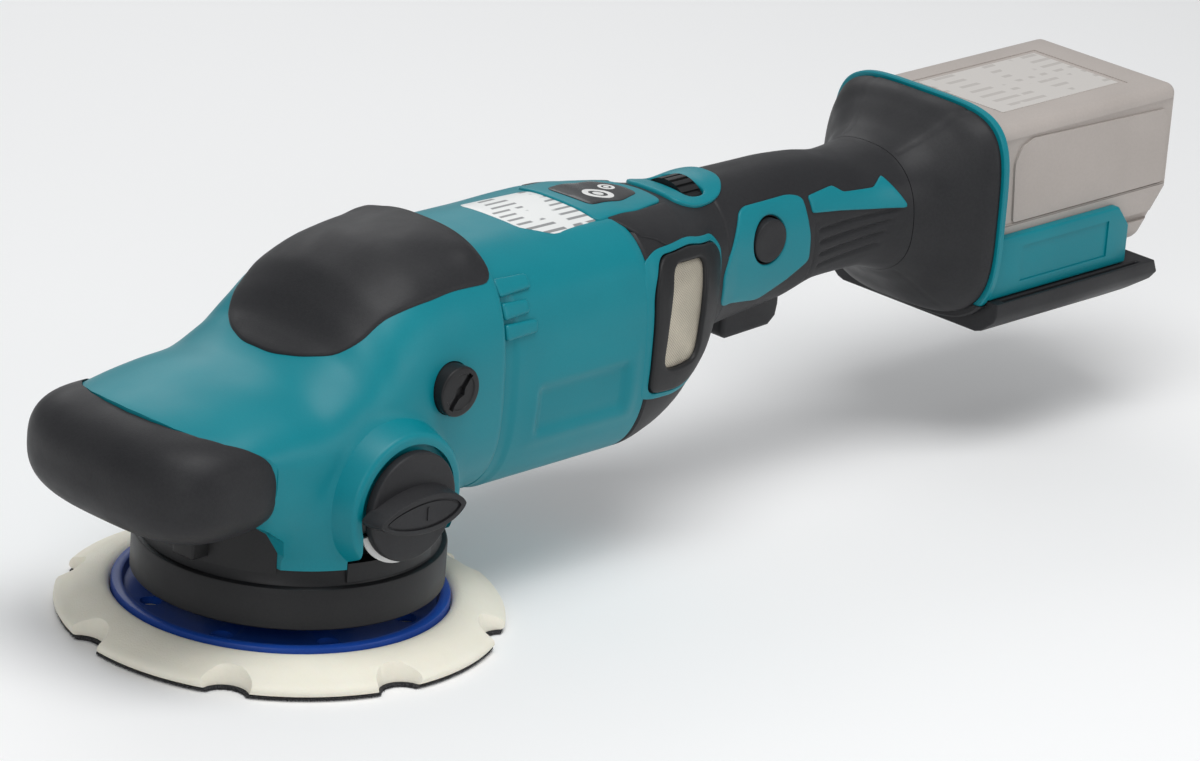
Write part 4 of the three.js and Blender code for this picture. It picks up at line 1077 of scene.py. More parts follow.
# ------------------------------------------------------------------ head
@dataclass
class Head:
    """The head cover, its soft top pad, the front grip and the plugs."""

    seam_x: float = 59.5
    well: float = 50.4
    grip_x: float = -69.0
    grip_z: float = 74.5
    grip_deep: float = 31.5
    grip_half: float = 48.6
    grip_high: float = 21.8
    plug_x: float = 30.0
    plug_z: float = 95.0
    plug_radius: float = 9.5
    plug_face: float = 52.5
    plug_deep: float = 9.0
    boss_radius: float = 26.3
    boss_flare: float = 1.18
    front_notch: tuple[Flat, ...] = (
        (-130, 20), (-40.3, 20), (-40.6, 44), (-43.5, 51), (-52, 57.5), (-130, 57.5),
    )
    nose: tuple[Flat, ...] = (
        (-82.2, 0), (-81.6, 12), (-79.8, 22), (-76.0, 31), (-70.0, 38), (-61.0, 43.5),
        (-53.0, 47.2), (-49.0, 60),
    )

    def cover(self) -> Piece:
        """The teal cover: its skin with the lower edge, the front notch and the knob's recess cut."""
        xs = np.concatenate([np.linspace(-88, -80, 8), np.arange(-78.5, 58.6, 1.5), [59.0, 59.5]])

        def seam(x: np.ndarray, turn: np.ndarray) -> np.ndarray:
            """Rolls the rear edge in, where the cover meets the housing."""
            return -0.7 * blend_over(58.6, self.seam_x, x)

        made = HEAD.loft("head_shell", xs, seam, 176)
        carve(made, block("cut_low", (-120, -90, 0), (120, 90, COVER_LOW)))
        carve(made, drum("cut_well", Axis.Z, (0, 0), self.well, (20, 56), 96))
        notch = slab("cut_front", Axis.Y, self.front_notch, (-90, 90))
        carve(made, soften(notch, 3.0, 5))
        carve(made, self.boss(), "UNION")
        carve(made, slab("cut_nose", Axis.Z, self.nose_line(0.0), (0, FAR)))
        carve(made, self.knob_recess())
        for side in Side:
            bore = self.plug_radius + 0.35
            carve(made, drum("cut_plug", Axis.Y, (self.plug_x, self.plug_z), bore, side.span(40, 80), 64))
        return smooth(made, 28.0)

    def boss(self) -> Piece:
        """The round collar that the knob sits in, which flares into the cover."""
        made = drum("boss", Axis.Y, (0, KNOB_Z), self.boss_radius, (-59.8, -44.0), 96)
        with editing(made):
            pick(made, lambda middle, normal: normal.y > 0.9)
            bpy.ops.transform.resize(value=(self.boss_flare, 1.0, self.boss_flare))
        soften(made, 1.8, 5)
        return carve(made, block("cut_boss", (-60, -80, 0), (60, -30, COVER_LOW)))

    def nose_line(self, back: float) -> list[Flat]:
        """The plan outline in front of the line where the cover meets the grip.

        Args:
            back: how far the line is moved towards the battery.

        Returns:
            The outline's corners, as x,y.
        """
        line = [(x + back, y) for x, y in self.nose]
        return [(-130, 60)] + line[::-1] + [(x, -y) for x, y in line[1:]] + [(-130, -60)]

    def knob_recess(self) -> Piece:
        """The round recess behind the knob, open at the bottom."""
        recess = drum("cut_knob", Axis.Y, (0, KNOB_Z), 22.6, (-75, -57.0), 96)
        sides = [(-21.5, 58), (-20, 20), (23.0, 20), (22.3, 58)]
        return carve(recess, slab("cut_below", Axis.Y, sides, (-75, -47.0)), "UNION")

    def grip(self) -> Piece:
        """The blunt bar across the nose, cut to sit on the cover."""
        blunt, squareness = 3.2, 2.65

        def bend(wave: np.ndarray) -> np.ndarray:
            """A sine or cosine, squared off towards a rounded box."""
            return np.sign(wave) * np.abs(wave) ** (2 / squareness)

        ends = 1 - np.cos(np.linspace(0, math.pi / 2, 26))
        shares = np.concatenate([-1 + ends * 0.55, np.linspace(-0.42, 0.42, 22), (1 - ends * 0.55)[::-1]])
        rings = []
        turn = np.arange(96) * 2 * math.pi / 96
        for share in shares:
            size = max(1 - abs(share) ** blunt, 2e-4) ** (1 / blunt)
            y = share * self.grip_half
            x = self.grip_x + (y / 50) ** 2 + self.grip_deep * size * bend(np.cos(turn))
            z = self.grip_z + self.grip_high * size * bend(np.sin(turn))
            rings.append(np.stack([x, np.full_like(x, y), z], axis=1))
        made = stack("nose_grip", np.array(rings))
        upper = slab("keep_front", Axis.Z, self.nose_line(-0.35), (70, FAR))
        lower = block("keep_lower", (-130, -70, 30), (0, 70, 80))
        carve(made, carve(upper, lower, "UNION"), "INTERSECT")
        inset = lambda x, turn: np.full_like(x, -0.4)
        carve(made, HEAD.loft("cut_cover", np.arange(-80, -30, 2.5), inset, 96))
        carve(made, drum("cut_lobe", Axis.Z, (0, 0), LOBE_RADIUS + 0.3, (0, FAR), 128))
        soften(made, 0.9, 3, 50.0)
        return smooth(made, 40.0)

    def top_pad(self) -> Piece:
        """The soft pad on top, with a raised corner at each side of its rear edge."""
        half = [(-22.5, 8), (-18, 19), (-11, 28), (-3, 33), (6, 34), (32, 36.5), (self.seam_x - 0.6, 37)]
        outline = [(x, -y) for x, y in half[::-1]] + half
        points = HEAD.on_top(outline)

        def ears(x: np.ndarray, turn: np.ndarray) -> np.ndarray:
            """Two low bumps near the rear corners."""
            across = (turn - math.pi / 2) * HEAD.spread
            bump = sum(np.exp(-((x - 53) / 7) ** 2 - ((across - s * 20) / 5) ** 2) for s in (-1, 1))
            return 1.5 * bump * blend_over(58.5, 55.0, x)

        pad = Inlay(HEAD, points, proud=0.9, sink=1.4, lip=1.3, corner=6.0, pitch=1.8, shape=ears)
        return pad.build("soft_top")

    def plug(self, name: str, side: Side) -> Piece:
        """A screw plug with a rounded rim, a dished face and a cross-cut slot."""
        face = side.value * self.plug_face
        span = side.span(self.plug_face - self.plug_deep, self.plug_face)
        made = drum(name, Axis.Y, (self.plug_x, self.plug_z), self.plug_radius, span, 72)
        soften(made, 0.9, 4)
        with editing(made):
            pick(made, lambda middle, normal: normal.y * side.value > 0.99)
            bpy.ops.mesh.inset(thickness=1.7 * MM)
            bpy.ops.mesh.inset(thickness=0.3 * MM, depth=-0.35 * MM)
        low = (self.plug_x - 7.6, face - 1.6, self.plug_z - 1.25)
        slot = block("slot", low, (self.plug_x + 7.6, face + 1.6, self.plug_z + 1.25))
        cross = drum("cross", Axis.Y, (self.plug_x, self.plug_z), 2.6, (face - 1.9, face + 1.9), 6)
        tool = carve(slot, cross, "UNION")
        with editing(tool):
            bpy.ops.mesh.select_all(action="SELECT")
            pivot = to_row((self.plug_x, face, self.plug_z))
            bpy.ops.transform.rotate(value=math.radians(52), orient_axis="Y", center_override=pivot)
        return smooth(carve(made, tool), 30.0)

    def build(self) -> None:
        """Makes the head's pieces."""
        finished(self.cover(), TEAL, "housing", "head_cover")
        finished(self.grip(), RUBBER, "housing", "front_grip")
        finished(self.top_pad(), RUBBER, "housing", "head_top_pad")
        for side in Side:
            piece = self.plug(f"plug_{side.label}", side)
            finished(piece, BLACK, "housing", f"side_plug_{side.label}")


@dataclass
class ModeKnob:
    """The mode knob with its lever, and the white band that shows below it."""

    radius: float = 20.5
    face: float = -58.6
    lever_half: float = 22.2
    lever_wide: float = 8.4
    lever_swell: float = 1.6

    def knob(self) -> Piece:
        """A disc with a rounded rim and a leaf-shaped lever."""
        disc = drum("knob", Axis.Y, (0, KNOB_Z), self.radius, (self.face - 4.4, self.face), 96)
        soften(disc, 1.1, 4)
        lever = slab("lever", Axis.Y, self.leaf(1.0, 1.0), (self.face - 12, self.face - 3))
        with editing(lever):
            pick(lever, lambda middle, normal: normal.y < -0.9)
            bpy.ops.transform.resize(value=(0.94, 1.0, 0.84))
        soften(lever, 1.0, 4, 40.0)
        carve(lever, slab("bed", Axis.Y, self.leaf(0.82, 0.62), (self.face - 14, self.face - 11.2)))
        island = slab("island", Axis.Y, self.leaf(0.76, 0.50), (self.face - 11.6, self.face - 10.8))
        carve(lever, island, "UNION")
        line = block("line", (-0.6, self.face - 12.0, 58.6), (0.4, self.face - 11.0, 63.6))
        carve(lever, line, "UNION")
        carve(disc, lever, "UNION")
        shaft = drum("shaft", Axis.Y, (0, KNOB_Z), 5.0, (self.face - 1, -40), 40)
        return smooth(carve(disc, shaft, "UNION"), 30.0)

    def leaf(self, long: float, wide: float) -> list[Flat]:
        """The lever's outline: a leaf, blunt towards the battery.

        Args:
            long: its length, as a share of the lever's.
            wide: its width, as a share of the lever's.

        Returns:
            The outline's corners, as x,z.
        """
        outline = []
        for a in np.linspace(0, 2 * math.pi, 65)[:-1]:
            along = math.cos(a)
            across = math.sin(a) * abs(math.sin(a)) ** 0.35
            half = self.lever_wide + self.lever_swell * along
            outline.append((-2.4 + self.lever_half * long * along, KNOB_Z + wide * across * half))
        return outline

    def band(self) -> Piece:
        """The white band that shows below the knob."""
        made = drum("knob_band", Axis.Y, (0, KNOB_Z), 22.2, (-58.3, -57.5), 96)
        carve(made, drum("cut_band", Axis.Y, (0, KNOB_Z), 9.0, (-60, -55), 48))
        carve(made, block("cut_upper", (-30, -60, 52.0), (30, -55, 90)))
        return smooth(made, 30.0)

    def build(self) -> None:
        """Makes the knob and its band."""
        finished(self.knob(), RUBBER, "knob", "mode_knob")
        finished(self.band(), WHITE, "housing", "knob_ring")


@dataclass
class Skirt:
    """The black skirt over the drive, with its front web and the shelf under the knob."""

    radius: float = 57.5
    low: float = 16.0
    top: float = 32.0

    def ring(self) -> Piece:
        """The round wall, with a bevelled top edge and an inner collar."""
        edge = self.radius
        return turned("skirt_wall", (0.0, 0.0), [
            (edge - 2.5, self.low), (edge - 0.4, self.low), (edge, self.low + 0.5), (edge, self.top - 1.4),
            (edge - 0.3, self.top - 0.5), (edge - 1.1, self.top), (edge - 2.2, self.top + 0.1),
            (edge - 3.0, self.top + 1.4), (edge - 3.6, COVER_LOW - 0.3), (50, COVER_LOW - 0.3),
            (50, 47.7), (43, 47.7), (43, 30.5), (edge - 2.5, 28),
        ], 160)

    def web(self) -> Piece:
        """The wall that rises to the nose between the lobes."""
        made = drum("web", Axis.Z, (0, 0), LOBE_RADIUS - 1.2, (36, 54.7), 160)
        carve(made, drum("cut_web", Axis.Z, (0, 0), 50.6, (30, 60), 128))
        return carve(made, block("keep_web", (-80, -60, 30), (-40.7, 60, 60)), "INTERSECT")

    def shelf(self) -> Piece:
        """The curved wall under the knob."""
        made = drum("shelf", Axis.Z, (0, 0), LOBE_RADIUS - 0.6, (33, 40.2), 160)
        return carve(made, block("keep_shelf", (-20, -60, 30), (22.0, -47.4, 60)), "INTERSECT")

    def build(self) -> None:
        """Joins the wall, web, shelf and block."""
        made = self.ring()
        carve(made, self.web(), "UNION")
        carve(made, self.shelf(), "UNION")
        stop = soften(block("stop", (-60.5, -14, 38), (-50, -3, 53.5)), 1.0, 3)
        carve(made, stop, "UNION")
        finished(smooth(made, 30.0), BLACK, "housing", "skirt")


# ------------------------------------------------------------------ motor housing
VENT_FRAME = (
    (136.6, 67.4), (137.0, 108), (143.2, 120.4), (165, 120.2), (184, 116.2),
    (189.5, 110.5), (187.5, 94), (180, 82), (171, 74), (160, 66.6),
)
VENT_SCREEN = ((144.3, 77.2), (146.6, 98), (150.4, 115.3), (171.5, 113.2), (167.5, 99), (164.2, 77.6))


def dial_slot() -> Piece:
    """The slot through housing and rubber that the speed dial turns in."""
    return block("cut_dial", (184.5, -14.5, 101), (196.5, 14.5, FAR))


@dataclass
class MotorHousing:
    """The teal housing round the motor, with its steps, side panels, label and screw bores."""

    front: float = 59.8
    rear: float = 197.0
    rubber_from: float = 136.5
    rubber_sink: float = 1.6
    panel: tuple[float, float, float, float] = (79.0, 126.0, 64.5, 83.5)

    def relief(self, x: np.ndarray, turn: np.ndarray) -> np.ndarray:
        """How far the housing stands off its skin: panel sunk, front band sunk, rubber's seat."""
        points = BODY.bare(x, turn)
        z, side = points[:, 2], np.abs(points[:, 1]) > 30
        left, right, low, high = self.panel
        span = blend_over(left - 1.5, left + 2.5, x) * blend_over(right + 1.5, right - 2.5, x)
        tall = blend_over(low - 1.5, low + 2.5, z) * blend_over(high + 1.5, high - 2.5, z)
        rim = blend_over(left - 8, left + 2, x) * blend_over(right + 7, right + 3, x)
        rim = rim * blend_over(low - 6, low - 2, z) * blend_over(high + 12, high + 2, z)
        off = np.where(side, 0.5 * rim - 1.9 * span * tall, 0.0)
        band = blend_over(66.5, 65.0, x) * blend_over(122.0, 118.0, z)
        off = off - 0.8 * band
        off = off - 0.6 * blend_over(self.front + 0.9, self.front, x)
        corner = blend_over(110.0, 120.0, z) * (np.abs(points[:, 1]) > 22)
        off = off + corner * 0.6 * blend_over(95, 125, x) * blend_over(136, 132, x)
        return off - self.rubber_sink * blend_over(self.rubber_from, self.rubber_from + 1.0, x)

    def shell(self) -> Piece:
        """The teal shell, with its vent holes and screw bores."""
        xs = np.concatenate([[self.front, 60.2, 60.7], np.arange(61.6, self.rear + 2.5, 1.3)])
        made = BODY.loft("motor_shell", xs, self.relief, 168)
        for side in Side:
            carve(made, slab("cut_vent", Axis.Y, grown(VENT_SCREEN, -1.5), side.span(12.0, 80.0)))
        carve(made, dial_slot())
        for place in ((80.5, 117.5), (80.5, 51.5), (130, 117.5), (130, 51.5)):
            carve(made, drum("cut_screw", Axis.Y, place, 4.2, (35.8, 60.0), 32))
        return smooth(made, 30.0)

    def steps(self) -> list[Piece]:
        """Three stepped ribs on each upper front corner."""
        made = []
        ribs = ((47, 16.5, 5.6), (37.5, 13.0, 5.0), (29, 16.0, 5.0))
        for side in Side:
            for i, (turn_deg, length, wide) in enumerate(ribs):
                turn = math.radians(turn_deg)
                turn = turn if side is Side.RIGHT else math.pi - turn
                half, tip = wide / 2 / BODY.spread, 60.0 + length
                narrow = half * 0.8
                line = np.array([
                    (60.0, turn - half), (tip, turn - narrow), (tip, turn + narrow), (60.0, turn + half),
                ])
                rib = Inlay(BODY, line, proud=1.5, sink=0.6, lip=0.9, corner=1.2, pitch=1.1)
                made.append(rib.build(f"corner_rib_{side.label}_{i + 1}"))
        return made

    def label(self) -> Piece:
        """A plain printed label on top."""
        outline = [(92, 17), (125.5, 15), (128.5, -19.5), (124, -22.5), (103, -22.8), (93, -14)]
        label = Inlay(BODY, BODY.on_top(outline), proud=0.18, sink=0.1, lip=0.1, corner=2.0, pitch=2.4)
        return label.build("housing_label")

    def tongue(self) -> Piece:
        """The teal tongue that carries the control panel, over the rubber."""
        outline = [(126, 21), (150, 19.5), (166, 13.5), (170.5, 0), (169.5, -13.5), (150, -19.4),
                   (132, -21.5), (126, -22)]
        tongue = Inlay(BODY, BODY.on_top(outline), proud=0.9, sink=1.9, lip=0.8, corner=3.0, pitch=2.0)
        return tongue.build("panel_tongue")

    def panel_window(self) -> Piece:
        """The dark control panel."""
        outline = [(131, 10.5), (158, 13), (164.5, 3.5), (164, -6), (150, -11.5), (132.5, -12)]
        window = Inlay(BODY, BODY.on_top(outline), proud=1.15, sink=-0.5, lip=0.35, corner=3.0, pitch=1.8)
        return window.build("panel_window")

    def panel_marks(self) -> list[Piece]:
        """Two pale ring marks on the panel, each round a dot."""
        made = []
        for i, (x, y, long, wide) in enumerate(((145.5, -3.0, 6.8, 5.6), (156.5, 3.4, 3.6, 3.2))):
            ring = BODY.on_top(oval((x, y), (long, wide), 19))
            hole = BODY.on_top(oval((x, y), (long * 0.62, wide * 0.62), 19))
            mark = Inlay(BODY, ring, proud=1.24, sink=-1.05, lip=0.05, corner=1.0, pitch=1.0, holes=(hole,))
            made.append(mark.build(f"key_mark_{i + 1}"))
            core = BODY.on_top(oval((x, y), (long * 0.36, wide * 0.36), 13))
            dot = Inlay(BODY, core, proud=1.24, sink=-1.05, lip=0.05, corner=0.5, pitch=0.8)
            made.append(dot.build(f"key_dot_{i + 1}"))
        return made

    def build(self) -> None:
        """Makes the housing's pieces."""
        finished(self.shell(), TEAL, "housing", "housing_left", "housing_right")
        ribs = joined("corner_ribs", self.steps())
        finished(ribs, TEAL, "housing")
        finished(self.label(), LABEL, "housing", slot="white_plastic")
        finished(self.tongue(), TEAL, "housing")
        finished(self.panel_window(), GLOSS, "housing", "control_panel", slot="black_plastic")
        finished(joined("key_marks", self.panel_marks()), WHITE, "housing")


@dataclass
class VentCovers:
    """The clip-on vent covers: a broad frame with a rounded inner edge, and wire cloth."""

    proud: float = 1.3

    def frame(self, side: Side) -> Piece:
        """The frame, with a rounded lip inside and out."""
        outer = BODY.on_side(grown(VENT_FRAME, -1.3), side)
        hole = BODY.on_side(grown(VENT_SCREEN, 0.6), side)
        lip = Inlay(BODY, outer, self.proud, sink=0.9, lip=1.1, corner=5.0, pitch=2.0, holes=(hole,))
        return lip.build(f"vent_rim_{side.label}")

    def screen(self, side: Side) -> Piece:
        """The wire cloth, sunk behind the frame."""
        outline = BODY.on_side(grown(VENT_SCREEN, 0.5), side)
        cloth = Inlay(BODY, outline, proud=-0.6, sink=1.3, lip=0.05, corner=2.5, pitch=2.2)
        return cloth.build(f"vent_cloth_{side.label}")

    def build(self) -> None:
        """Makes both covers."""
        for side in Side:
            label = side.label
            finished(self.frame(side), BLACK, f"vent_{label}", f"vent_frame_{label}")
            finished(self.screen(side), MESH, f"vent_{label}", f"vent_screen_{label}")


@dataclass
class Handle:
    """The rubber skin of the rear housing and handle, with the teal plates let into it."""

    front: float = 137.0
    grip_from: float = 197.0
    grip_to: float = 300.0

    def vent_seat(self, x: np.ndarray, turn: np.ndarray) -> np.ndarray:
        """Sinks the rubber under the vent covers and at its front edge."""
        points = BODY.bare(x, turn)
        flat = points[:, [0, 2]]
        under = inside(flat, np.array(grown(VENT_FRAME, -1.0))) & (np.abs(points[:, 1]) > 15)
        off = np.where(under, -1.4, 0.0)
        return off - 0.7 * blend_over(self.front + 0.8, self.front, x)

    def cap(self) -> Piece:
        """The rubber cap round the rear of the motor housing."""
        back = self.grip_from - 0.2
        xs = np.concatenate([[self.front, 137.4, 138.0], np.arange(139, back, 1.3), [back]])
        made = BODY.loft("rubber_cap", xs, self.vent_seat, 168)
        for side in Side:
            carve(made, slab("cut_vent", Axis.Y, grown(VENT_SCREEN, -0.6), side.span(12.0, 80.0)))
        carve(made, dial_slot())
        return smooth(made, 30.0)

    def shoulder(self, side: Side) -> Piece:
        """The rubber shoulder that runs forward from the cap along the top edge."""
        outline = np.vstack([
            BODY.on_top([(171, side.value * 13.8), (150, side.value * 19.0), (131.0, side.value * 20.9)]),
            BODY.on_side([(139.5, 126.4), (147.3, 124.0), (150, 121.6), (165, 121.4)], side),
        ])
        lip = Inlay(BODY, outline, proud=0.6, sink=1.8, lip=0.7, corner=2.0, pitch=1.8)
        return lip.build(f"rubber_shoulder_{side.label}")

    def vent_band(self, side: Side) -> Piece:
        """The thin teal line round a vent cover."""
        around = [(133.8, 66.2), (133.8, 118.0), (142.2, 121.9), (165, 121.5), (184.4, 117.5), (190.5, 111.2),
                  (188.5, 93.6), (180.7, 81.3), (171.6, 73.2), (160, 65.8)]
        outer = BODY.on_side(around, side)
        hole = BODY.on_side(grown(VENT_FRAME, -0.9), side)

        def level(x: np.ndarray, turn: np.ndarray) -> np.ndarray:
            """Lets the front of the line down to the rubber's sunk edge."""
            return -0.42 * blend_over(141.0, 137.0, x)

        band = Inlay(BODY, outer, proud=0.5, sink=2.0, lip=0.3, corner=4.0, pitch=1.5, holes=(hole,),
                     shape=level)
        return band.build(f"vent_band_{side.label}")

    def ripple(self, x: np.ndarray, turn: np.ndarray) -> np.ndarray:
        """Four shallow grooves that fan out along each flank of the handle."""
        points = BODY.bare(x, turn)
        z = points[:, 2]
        off = np.zeros_like(x)
        for i in range(4):
            front, rear = 104.0 - 5.2 * i, 105.6 - 3.9 * i
            line = front + (rear - front) * (x - 252) / 44
            groove = np.exp(-((z - line) / 0.85) ** 2)
            begun = blend_over(251 + i * 0.6, 253 + i * 0.6, x)
            off -= 0.9 * groove * begun * blend_over(296 - i * 3, 292 - i * 3, x)
        off -= 0.5 * np.exp(-((x - 250.5) / 1.0) ** 2) * blend_over(110, 107, z) * blend_over(80, 84, z)
        return off * (np.abs(points[:, 1]) > 6)

    def grip(self) -> Piece:
        """The rubber grip, from the cap to the dock flange."""
        xs = np.concatenate([[self.grip_from, 197.5], np.arange(198.4, self.grip_to, 1.0), [self.grip_to]])

        def edges(x: np.ndarray, turn: np.ndarray) -> np.ndarray:
            """The flank grooves, and a step down at the seam with the cap."""
            return self.ripple(x, turn) - 0.5 * blend_over(self.grip_from + 0.8, self.grip_from, x)

        made = BODY.loft("handle_rubber", xs, edges, 352)
        carve(made, block("cut_trigger", (212.2, -11, 50), (245.8, 11, 101)))
        carve(made, drum("cut_lock", Axis.Y, LOCK_AT, 9.3, (-60, -10.0), 64))
        carve(made, drum("cut_screw", Axis.Y, (262, 103), 4.2, (15.3, 60), 32))
        return smooth(made, 30.0)

    def lock_plate(self, side: Side) -> Piece:
        """The teal plate round the lock button."""
        around = [(193.0, 98), (200, 108.5), (206.5, 119.4), (210, 120.8), (236, 120.6), (243, 118.6),
                  (246.2, 103), (246.4, 93), (235, 87), (221, 81.5), (196.8, 84.6), (193.8, 88)]
        outline = BODY.on_side(around, side)
        holes = (BODY.on_side(oval(LOCK_AT, (9.6, 9.6), 32), side),) if side is Side.LEFT else ()
        plate = Inlay(BODY, outline, proud=0.8, sink=1.0, lip=0.7, corner=3.5, pitch=1.5, holes=holes)
        return plate.build(f"lock_plate_{side.label}")

    def strip(self, side: Side) -> Piece:
        """The notched teal strip along the flank."""
        outline = [(246.4, 118.2), (261, 119.4), (266.5, 116.2), (283, 115.2), (288.6, 118.6),
                   (292.5, 114.0), (297.2, 107.4), (296.8, 106.0), (280, 107.6), (263, 109.8),
                   (247.6, 111.6)]
        strip = Inlay(BODY, BODY.on_side(outline, side), proud=0.6, sink=0.8, lip=0.5, corner=1.2, pitch=1.4)
        return strip.build(f"flank_strip_{side.label}")

    def bezel(self) -> Piece:
        """The teal surround of the speed dial."""
        around = [(175, 12), (186, 16.2), (200, 15), (208.5, 7), (208.5, -7), (200, -15), (186, -17),
                  (176, -15)]
        outline = BODY.on_top(around)
        slot = BODY.on_top([(185.0, 12), (196, 12), (196, -12), (185.0, -12)])
        ring = Inlay(BODY, outline, proud=1.5, sink=0.8, lip=1.0, corner=6.0, pitch=1.5, holes=(slot,))
        return ring.build("dial_surround")

    def build(self) -> None:
        """Makes the rubber skins and the plates."""
        finished(self.cap(), RUBBER, "housing", "motor_overmould")
        finished(self.grip(), RUBBER, "housing", "handle_grip")
        for side in Side:
            finished(self.shoulder(side), RUBBER, "housing")
            finished(self.vent_band(side), TEAL, "housing")
            finished(self.lock_plate(side), TEAL, "housing")
            finished(self.strip(side), TEAL, "housing")
        finished(self.bezel(), TEAL, "housing", "dial_bezel")


@dataclass
class Controls:
    """What a hand works on the handle: speed dial, lock button and trigger."""

    dial_x: float = 190.5
    dial_z: float = 117.5
    dial_radius: float = 13.5
    dial_half: float = 4.9

    def dial(self) -> Piece:
        """A ridged wheel, with sunk strips between its ridges."""
        span = (self.dial_x - self.dial_half, self.dial_x + self.dial_half)
        made = drum("dial_wheel", Axis.X, (0, self.dial_z), self.dial_radius, span, 112)

        def valley(middle: Vector, normal: Vector) -> bool:
            """Every other strip of the tread, which is sunk between two ridges."""
            turn = math.degrees(math.atan2(middle.z - self.dial_z, middle.y))
            return abs(normal.x) < 0.3 and int(turn // 8.0) % 2 == 0

        with editing(made):
            pick(made, valley)
            bpy.ops.mesh.inset(thickness=0.35 * MM, depth=-0.9 * MM, use_even_offset=False)
        return smooth(made, 30.0)

    def lock_button(self) -> Piece:
        """The round lock button, with a rounded edge and a dished face."""
        low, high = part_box("lock_button")
        made = drum("lock_cap", Axis.Y, LOCK_AT, 8.6, (low.y / MM, high.y / MM), 72)
        with editing(made):
            pick(made, lambda middle, normal: normal.y < -0.99)
            bpy.ops.mesh.inset(thickness=1.0 * MM, depth=0.25 * MM)
            bpy.ops.mesh.inset(thickness=2.5 * MM, depth=-0.15 * MM)
        return smooth(soften(made, 0.45, 3), 30.0)

    def trigger(self) -> Piece:
        """The trigger: a finger-wide paddle with rounded corners."""
        outline = [(213, 84), (213, 65), (216.5, 63), (240, 63.8), (244, 67), (245, 72), (245, 84)]
        made = slab("trigger_paddle", Axis.Y, outline, (-10.5, 10.5))
        soften(made, 2.2, 5, 60.0)
        return smooth(made, 30.0)

    def build(self) -> None:
        """Makes the controls on their own bodies."""
        finished(self.dial(), BLACK, "dial", "speed_dial")
        finished(self.lock_button(), RUBBER, "lock_button", "lock_button")
        finished(self.trigger(), RUBBER, "trigger", "trigger")


